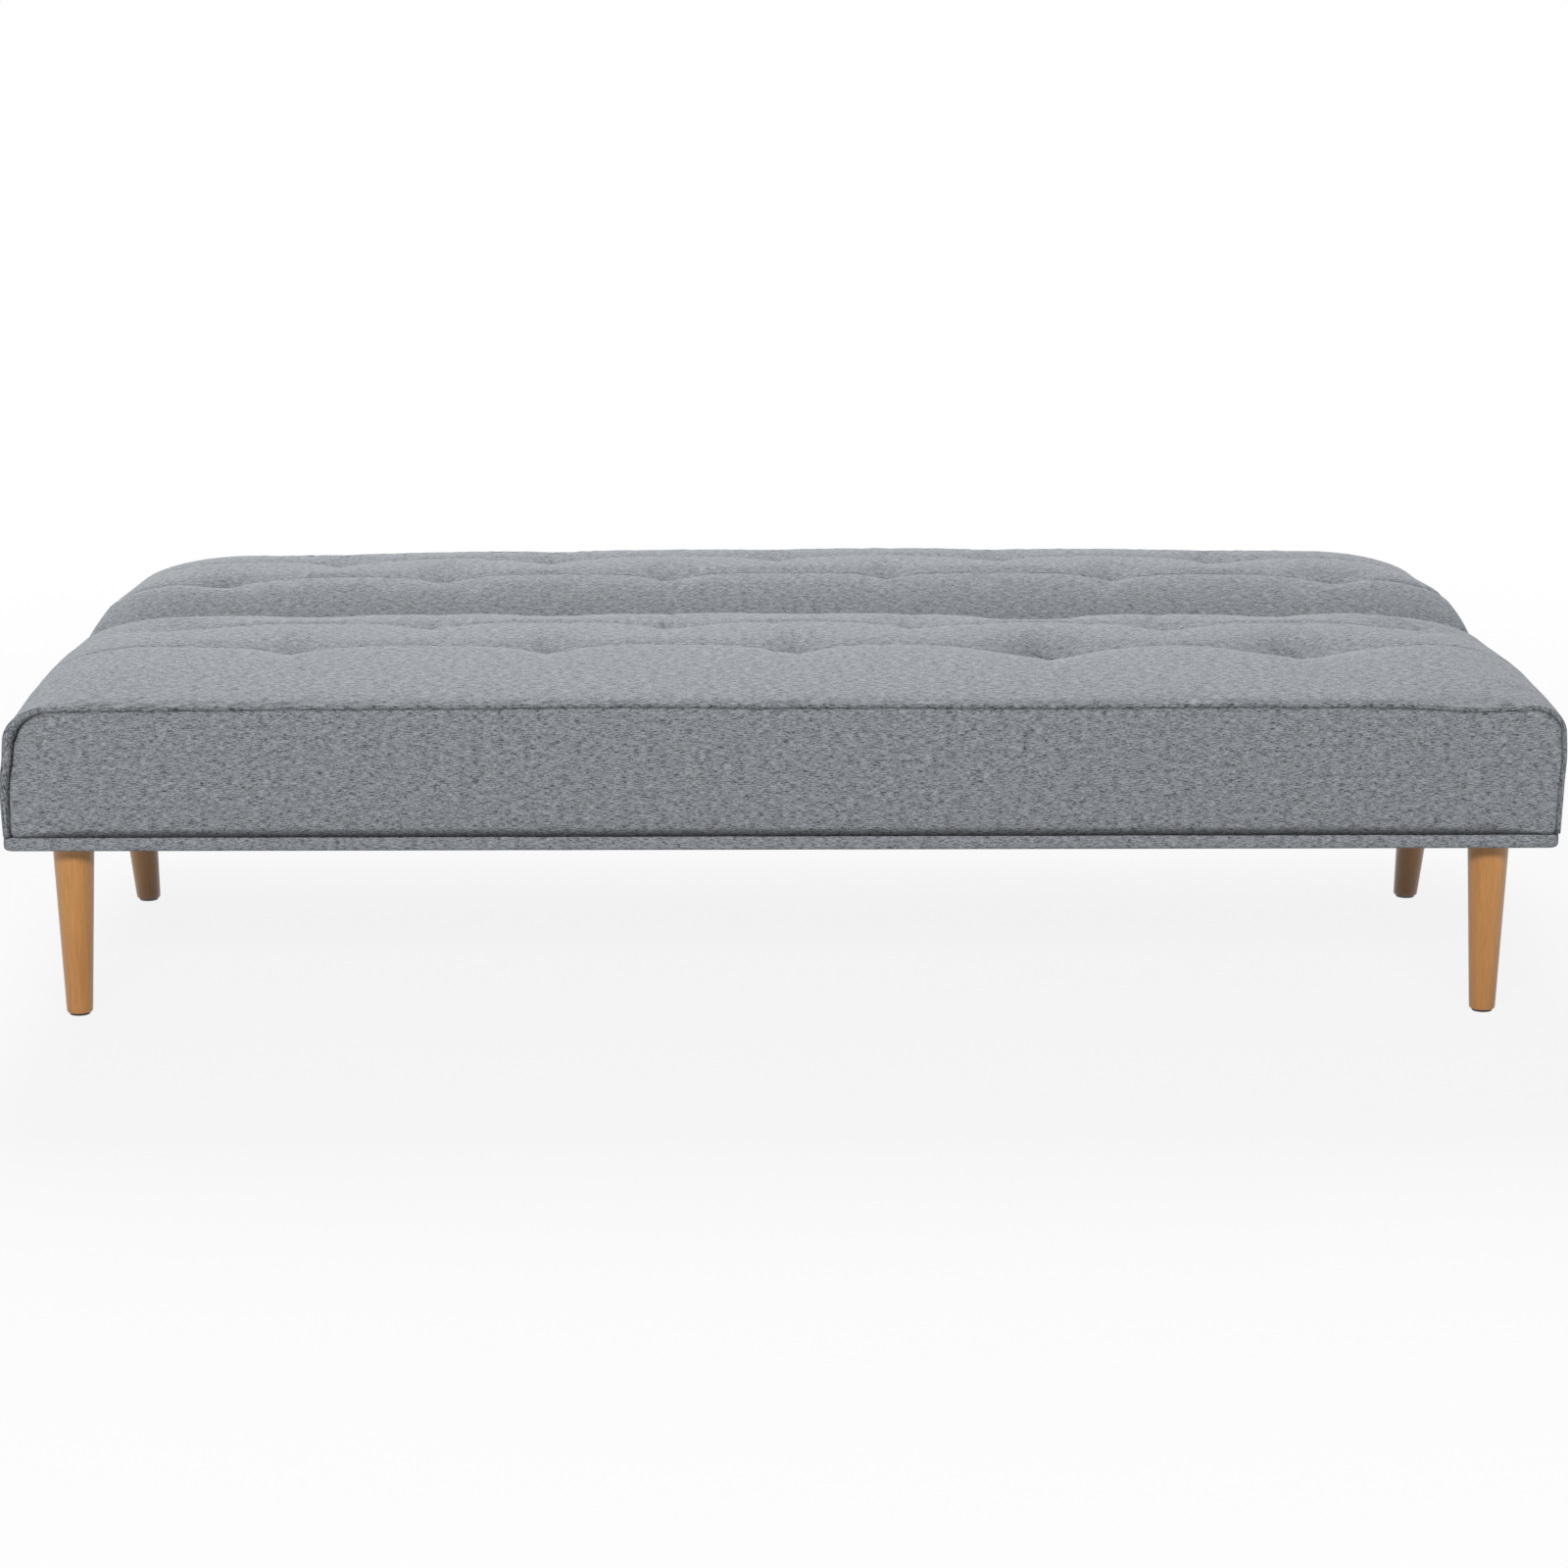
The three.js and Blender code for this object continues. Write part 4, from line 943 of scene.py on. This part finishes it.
def cut_window(piece, low, high):
    """Opens a box-shaped window in a sheet: cuts the sheet at the box's planes and removes what is inside."""
    def inside(shell, margin):
        return [face for face in shell.faces if all(
            low[axis] - margin < face.calc_center_median()[axis] < high[axis] + margin for axis in range(3))]

    with edited(piece.data) as shell:
        for axis in range(3):
            for place in (low[axis], high[axis]):
                near = inside(shell, 0.012)
                geometry = list({item for face in near for item in (*face.verts, *face.edges)}) + near
                normal, point = Vector((0, 0, 0)), Vector((0, 0, 0))
                normal[axis], point[axis] = 1.0, place
                bmesh.ops.bisect_plane(shell, geom=geometry, dist=1e-6, plane_co=point, plane_no=normal)
        bmesh.ops.delete(shell, geom=inside(shell, 0.0), context="FACES")


def pad_cover(pad, window):
    """A pad's sewn cover: the sheet over top and ends, and the two boxed panels, as one shell.

    The window that the right hinge needs is cut at both ends."""
    size = sizes()
    sheet = pad_sheet(pad)
    front = pad.inward > 0
    boxed = face_panel(pad, sheet[0][0], -pad.inward, size.panel_puff, pad.seed + 21)
    fold = face_panel(pad, sheet[0][-1], pad.inward, 0.0004, pad.seed + 31)
    patches = [(*sheet, not front), (*boxed, front), (*fold, not front)]
    piece = surface_object(f"{pad.unit}_upholstery", patches, material("pad_cloth"))
    low, high = window
    for side in (-1, 1):
        span = sorted((side * low[0], side * high[0]))
        cut_window(piece, Vector((span[0], low[1], low[2])), Vector((span[1], high[1], high[2])))
    thicken(piece, "cloth wall", size.cloth_thick)
    return dressed(piece, pad.body, [f"{pad.unit}_cover"])


FOAM_INSET, FOAM_CLEAR, FOAM_TOP = 0.004, 0.002, 0.006
FOAM_CAP = 0.02             # length over which a block's ends are rounded in
FOAM_LEAN = {"seat": 0.016, "back": 0.055}


def foam_block(pad):
    """The foam inside a cover: a block with rounded edges, a superellipse in its section.

    The section leans away from the fold, as the cover does, and shrinks to a point at either end."""
    low, high = node_box(f"{pad.unit}_foam")
    middle, half = (low + high) / 2, (high - low) / 2 - FOAM_INSET
    half[0] = node_box("hinge_pin_right")[0][0] - FOAM_INSET
    base_z = node_box(f"{pad.unit}_rail_left")[1][2] + FOAM_CLEAR
    half_z = (high[2] - FOAM_TOP - base_z) / 2
    lean = FOAM_LEAN[pad.unit]
    turn = np.linspace(0, 2 * math.pi, 97)
    y, z = superellipse(turn, 2 / 9)
    shift = np.where(y * pad.inward > 0, -pad.inward * lean * (z + 1) / 2, 0)
    ring_y = middle[1] + y * half[1] + shift
    ring_z = base_z + half_z + z * half_z
    ends = np.concatenate([[0.0], np.sin(np.linspace(0.25, math.pi / 2, 8))])
    place = half[0] - FOAM_CAP * (1 - ends)
    size = FOAM_CAP * ends + (1 - FOAM_CAP) * (ends > 0)
    x = np.concatenate([-place, [0.0], place[::-1]])[:, None]
    grow = np.concatenate([size, [1.0], size[::-1]])[:, None]
    centre_y, centre_z = middle[1] - pad.inward * lean / 4, base_z + half_z
    points = np.stack(np.broadcast_arrays(
        x, centre_y + (ring_y - centre_y)[None] * grow, centre_z + (ring_z - centre_z)[None] * grow), -1)
    patch = (points, points[..., :2], 0.0, False)
    piece = surface_object(f"{pad.unit}_foam_block", [patch], material("foam"))
    fix_normals(piece)
    return dressed(piece, pad.body, [f"{pad.unit}_foam"])


# Plinth, legs and sheets

BAND_CORNER, BAND_POWER = 0.013, 0.42
BAND_COLUMNS = (160, 46)    # columns on a long and on a short side
FOOT_RADIUS, FOOT_ROUND = 0.0152, 0.0014
LINING_WALL = 0.0008


def plinth_band(unit, body, ends):
    """A unit's cloth-wrapped plinth: a rounded bar carried round a rounded rectangle.

    The path is a rectangle with quarter-round corners; the bar's section is a superellipse."""
    nodes = [f"{unit}_plinth_{end}" for end in (*ends, "left", "right")]
    boxes = [node_box(node) for node in nodes]
    low = np.min([box[0] for box in boxes], axis=0)
    high = np.max([box[1] for box in boxes], axis=0)
    board = boxes[0][1][1] - boxes[0][0][1]
    middle, half = (low + high) / 2, (high - low) / 2
    corners = [
        middle[:2] + (half[:2] - BAND_CORNER) * signs for signs in ((1, 1), (-1, 1), (-1, -1), (1, -1))]
    path, out = [], []
    for quarter, corner in enumerate(corners):
        turn = np.linspace(quarter * math.pi / 2, (quarter + 1) * math.pi / 2, 9)
        around = np.stack([np.cos(turn), np.sin(turn)], -1)
        reach = np.linspace(0, 1, BAND_COLUMNS[quarter % 2])[1:-1, None]
        target = corners[(quarter + 1) % 4]
        path += [np.broadcast_to(corner, around.shape), corner * (1 - reach) + target * reach]
        out += [around, np.broadcast_to(around[-1], (len(reach), 2))]
    path, out = [np.concatenate([*parts, parts[0][:1]]) for parts in (path, out)]
    turn = np.linspace(0, 2 * math.pi, 41)
    reach, rise = superellipse(turn, BAND_POWER)
    bar = BAND_CORNER - board / 2 + reach * board / 2
    thick = high[2] - low[2]
    along = travelled(*(path + out * BAND_CORNER).T)
    ripple = waves(BAND_WAVE, along[:, None], turn[None] * 0.01, 41)
    offset = np.maximum(bar[None] + ripple, BAND_CORNER - board)
    x = path[:, :1] + out[:, :1] * offset
    y = path[:, 1:] + out[:, 1:] * offset
    z = middle[2] + rise[None] * (thick / 2 - 0.0002) + 0 * x
    cloth = grid(along[:, None], travelled(bar, rise * thick / 2)[None])
    piece = surface_object(
        f"{unit}_plinth_wrap", [(np.stack([x, y, z], -1), cloth, 0.0, True)], material("panel_cloth"))
    fix_normals(piece)
    return dressed(piece, body, nodes)


def turned_leg(node):
    """A tapered leg with level-cut ends: level ellipses whose middle runs down a leaning line.

    The radius falls evenly from the top to the foot, and the last millimetres are rounded in. The
    leg_place attribute is the place within the leg as if it stood upright, for the grain."""
    low, high = node_box(node)
    foot = sum(node_box(node.replace("leg_", "glide_")))[:2] / 2
    top = sum(node_box(node.replace("leg_", "leg_plate_")))[:2] / 2
    foot_z, top_z = low[2], high[2]
    lean = math.atan2(foot[1] - top[1], top_z - foot_z)
    top_radius = (high[0] - low[0]) / 2
    down = np.concatenate([[0, 0], np.linspace(0, 1, 60)[1:-3], [0.990, 0.995, 0.9985, 1.0, 1.0]])
    radius = top_radius + (FOOT_RADIUS - top_radius) * down
    radius = radius - FOOT_ROUND * (1 - np.sqrt(1 - rising(down, 0.985, 0.015) ** 2))
    radius[0], radius[-1] = 0, 0
    turn = np.linspace(0, 2 * math.pi, 65)
    centre = top[None] + (foot - top)[None] * down[:, None]
    x = centre[:, :1] + radius[:, None] * np.cos(turn)[None]
    y = centre[:, 1:] + radius[:, None] * np.sin(turn)[None] / math.cos(lean)
    z = (top_z + (foot_z - top_z) * down)[:, None] + 0 * x
    patch = (np.stack([x, y, z], -1), grid(turn[None] * top_radius, z), 0.0, False)
    piece = surface_object(f"turned_{node}", [patch], material("leg_beech"), weld=5e-6)
    fix_normals(piece)
    co = np.empty(len(piece.data.vertices) * 3, dtype=np.float32)
    piece.data.vertices.foreach_get("co", co)
    co = co.reshape(-1, 3)
    place = np.stack([
        co[:, 0] - top[0], co[:, 1] - top[1] - (top_z - co[:, 2]) * math.tan(lean),
        co[:, 2] + 7 * top[0]], -1)
    attribute = piece.data.attributes.new("leg_place", "FLOAT_VECTOR", "POINT")
    attribute.data.foreach_set("vector", place.astype(np.float32).ravel())
    return dressed(piece, "seat_unit", [node])


def stretched_sheet(name, node, body, finish, sag, notch=(0.0, 0.0)):
    """A sheet stapled under a unit: a grid that sags or swells by a product of cosines.

    Where notch is given, the corners that hold the leg plates are left out."""
    low, high = node_box(node)
    middle, half = (low + high) / 2, (high - low) / 2
    kept_x, kept_y = 1 - np.array(notch) / half[:2]
    u = np.unique(np.concatenate([np.linspace(-1, 1, 91), [-kept_x, kept_x]]))
    v = np.unique(np.concatenate([np.linspace(-1, 1, 31), [-kept_y, kept_y]]))
    hair = 1e-9
    spans = [(v[np.abs(v) <= kept_y + hair], u)]
    if any(notch):
        inner = u[np.abs(u) <= kept_x + hair]
        spans += [(v[v >= kept_y - hair], inner), (v[v <= -kept_y + hair], inner)]
    patches = []
    for rows, columns in spans:
        x = middle[0] + half[0] * columns[None] + 0 * rows[:, None]
        y = middle[1] + half[1] * rows[:, None] + 0 * columns[None]
        drop = np.cos(rows * math.pi / 2)[:, None] ** 0.5 * np.cos(columns * math.pi / 2)[None] ** 0.5
        drop = np.nan_to_num(drop)
        z = low[2] - sag * drop + waves(SHEET_WAVE, x, y, 71) * drop
        patches.append((np.stack([x, y, z], -1), np.stack([x, y], -1), 0.0, True))
    piece = surface_object(name, patches, material(finish), weld=1e-5)
    thicken(piece, "sheet wall", min(LINING_WALL, high[2] - low[2]))
    width, depth = (float(part) for part in 2 * half[:2])
    area = width * depth - 4 * notch[0] * notch[1]
    return dressed(piece, body, [node])


# The stage


def photo_camera(scene):
    """The camera at the photograph's place and angle."""
    lens = bpy.data.cameras.new("photo_camera")
    lens.sensor_width = 36.0
    lens.lens = LENS_PIXELS / PHOTO_PIXELS * lens.sensor_width
    lens.shift_x = (PHOTO_PIXELS / 2 - LENS_CENTRE_PIXEL) / PHOTO_PIXELS
    lens.clip_end = 200.0
    camera = placed("photo_camera", lens)
    camera.location = (EYE_ASIDE, CAD_BOX[0][1] - EYE_DISTANCE, EYE_HEIGHT)
    camera.rotation_euler = (math.pi / 2 - EYE_PITCH, 0.0, EYE_ASIDE / EYE_AIM)
    scene.camera = camera


def studio_floor():
    """A pale floor: matt to the light, white to the eye, and a little greyer close to the sofa."""
    reach = 40.0
    corners = [(-reach, -reach, 0), (reach, -reach, 0), (reach, reach, 0), (-reach, reach, 0)]
    mesh = bpy.data.meshes.new("studio_floor")
    mesh.from_pydata(corners, [], [(0, 1, 2, 3)])
    floor = placed("studio_floor", mesh)
    paint = Paint("studio_floor")
    place = paint.node("ShaderNodeTexCoord", {}, out=3)
    far = paint.node("ShaderNodeVectorMath", {"operation": "LENGTH"}, {0: place}, out=1)
    path = paint.node("ShaderNodeLightPath")
    seen = [Value(paint, path.socket.node.outputs[name]) for name in (
        "Is Camera Ray", "Is Glossy Ray", "Is Transmission Ray")]
    share = (paint.ramp(far, 1.2, 3.2) * 0.12 + 0.88) * (seen[0] + seen[1] + seen[2]).least(1.0)
    matt = paint.node("ShaderNodeBsdfDiffuse", {}, {"Color": (0.55, 0.55, 0.55, 1)})
    white = paint.node("ShaderNodeEmission", {}, {"Color": (1, 1, 1, 1), "Strength": 1.0})
    mixed = paint.node("ShaderNodeMixShader", {}, {0: share, 1: matt, 2: white})
    paint.tree.links.new(mixed.socket, paint.output.inputs["Surface"])
    mesh.materials.append(paint.material)


def studio_lamps():
    """A large key light, high behind the sofa, and a long low fill in front of it."""
    lamps = (
        ("key", (-1.3, 11.5, 7.75), (4.6, 5.4), 2960.0),
        ("fill", (-0.2, -5.0, 2.65), (3.4, 0.8), 172.0),
    )
    for name, place, (width, height), power in lamps:
        light = bpy.data.lights.new(name, "AREA")
        light.shape = "RECTANGLE"
        light.size, light.size_y = width, height
        light.energy = power
        lamp = placed(name, light)
        lamp.location = place
        lamp.rotation_euler = (LAMP_AIM - Vector(place)).to_track_quat("-Z", "Y").to_euler()


def studio_world(scene):
    """A soft sky that lights the sofa a little and is white behind it."""
    world = bpy.data.worlds.new("studio")
    scene.world = world
    world.use_nodes = True
    tree = world.node_tree
    tree.nodes.clear()
    output = tree.nodes.new("ShaderNodeOutputWorld")
    path = tree.nodes.new("ShaderNodeLightPath")
    mix = tree.nodes.new("ShaderNodeMixShader")
    for number, strength in ((1, 0.11), (2, 1.0)):
        sky = tree.nodes.new("ShaderNodeBackground")
        sky.inputs["Color"].default_value = (1, 1, 1, 1)
        sky.inputs["Strength"].default_value = strength
        tree.links.new(sky.outputs[0], mix.inputs[number])
    tree.links.new(path.outputs["Is Camera Ray"], mix.inputs[0])
    tree.links.new(mix.outputs[0], output.inputs["Surface"])


# Operators: one for each piece or group of like pieces


class SOFA_OT_stage(bpy.types.Operator):
    """Camera at the photograph's angle, soft studio light and a pale floor"""

    bl_idname = "sofa.stage"
    bl_label = "Stage"

    def execute(self, context):
        context.scene.view_settings.view_transform = "Standard"
        photo_camera(context.scene)
        studio_floor()
        studio_lamps()
        studio_world(context.scene)
        return {"FINISHED"}


def hinge_window(near_y, far_y, low_z, high_z):
    """The window that the right hinge needs in a cover; its heights are from the fold's axis."""
    pin_low, pin_high = node_box("hinge_pin_right")
    return ((pin_low[0] - HINGE_GAP, near_y, FOLD_AXIS[2] + low_z),
            (pin_high[0] + HINGE_GAP, far_y, FOLD_AXIS[2] + high_z))


class SOFA_OT_seat_cover(bpy.types.Operator):
    """The seat's tufted cover and its foam"""

    bl_idname = "sofa.seat_cover"
    bl_label = "Seat cover"

    def execute(self, context):
        pad = seat_pad()
        pad_cover(pad, hinge_window(pad.fold - 0.018, pad.fold + 0.004, -0.021, 0.0155))
        foam_block(pad)
        return {"FINISHED"}


class SOFA_OT_back_cover(bpy.types.Operator):
    """The back's tufted cover and its foam"""

    bl_idname = "sofa.back_cover"
    bl_label = "Back cover"

    def execute(self, context):
        pad = back_pad()
        pad_cover(pad, hinge_window(pad.fold - 0.004, pad.fold + 0.0105, -0.055, 0.0120))
        foam_block(pad)
        return {"FINISHED"}


class SOFA_OT_plinths(bpy.types.Operator):
    """The cloth-wrapped plinths of the two units"""

    bl_idname = "sofa.plinths"
    bl_label = "Plinths"

    def execute(self, context):
        plinth_band("seat", "seat_unit", ("front", "rear"))
        plinth_band("back", "back_unit", ("near", "far"))
        return {"FINISHED"}


class SOFA_OT_legs(bpy.types.Operator):
    """Turned beech legs, upright in front and splayed behind"""

    bl_idname = "sofa.legs"
    bl_label = "Legs"

    def execute(self, context):
        for row in ("front", "rear"):
            for side in ("left", "right"):
                turned_leg(f"leg_{row}_{side}")
        return {"FINISHED"}


class SOFA_OT_undersides(bpy.types.Operator):
    """The black lining under the seat and the cloth panel behind the back"""

    bl_idname = "sofa.undersides"
    bl_label = "Undersides"

    def execute(self, context):
        plate_low, plate_high = node_box("leg_plate_front_right")
        lining_low, lining_high = node_box("seat_lining")
        notch = (lining_high[0] - plate_low[0] + PLATE_GAP[0], plate_high[1] - lining_low[1] + PLATE_GAP[1])
        stretched_sheet("seat_lining_sheet", "seat_lining", "seat_unit", "lining", 0.0012, notch)
        stretched_sheet(
            "back_rear_panel", "back_outer_panel", "back_unit", "panel_cloth", 0.0004)
        return {"FINISHED"}


class SOFA_OT_hardware(bpy.types.Operator):
    """Finishes for the CAD pieces that keep their own shape"""

    bl_idname = "sofa.hardware"
    bl_label = "Timber and hardware finishes"

    def execute(self, context):
        finishes = (
            ("_rail_", "rail_pine"), ("bearer", "rail_pine"), ("leg_block", "rail_pine"),
            ("_slat_", "slat_beech"), ("leg_plate", "zinc"), ("hinge_seat", "zinc"), ("hinge_back", "zinc"),
            ("hinge_pin", "black_steel"), ("pawl", "black_steel"), ("glide", "glide"),
        )
        for name, node in frame["nodes"].items():
            finish = next((finish for part, finish in finishes if part in name), None)
            if finish is None:
                continue
            node.data.materials.clear()
            node.data.materials.append(material(finish))
        return {"FINISHED"}


OPERATORS = (
    SOFA_OT_stage, SOFA_OT_seat_cover, SOFA_OT_back_cover, SOFA_OT_plinths, SOFA_OT_legs,
    SOFA_OT_undersides, SOFA_OT_hardware,
)


class SOFA_PT_panel(bpy.types.Panel):
    """Lists the sizes, the colours and the pieces"""

    bl_idname = "SOFA_PT_panel"
    bl_label = "Sofa bed"
    bl_space_type = "VIEW_3D"
    bl_region_type = "UI"
    bl_category = "Sofa bed"

    def draw(self, context):
        for group in (context.scene.sofa_sizes, context.scene.sofa_colours):
            box = self.layout.box()
            for name in group.__annotations__:
                box.prop(group, name)
        for operator in OPERATORS:
            self.layout.operator(operator.bl_idname)


CLASSES = (SofaSizes, SofaColours, *OPERATORS, SOFA_PT_panel)


def register():
    for item in CLASSES:
        bpy.utils.register_class(item)
    bpy.types.Scene.sofa_sizes = bpy.props.PointerProperty(type=SofaSizes)
    bpy.types.Scene.sofa_colours = bpy.props.PointerProperty(type=SofaColours)


def unregister():
    del bpy.types.Scene.sofa_sizes, bpy.types.Scene.sofa_colours
    for item in reversed(CLASSES):
        bpy.utils.unregister_class(item)


def main():
    register()
    for operator in OPERATORS:
        group, name = operator.bl_idname.split(".")
        getattr(getattr(bpy.ops, group), name)()
    bpy.context.view_layer.update()


if __name__ == "__main__":
    main()
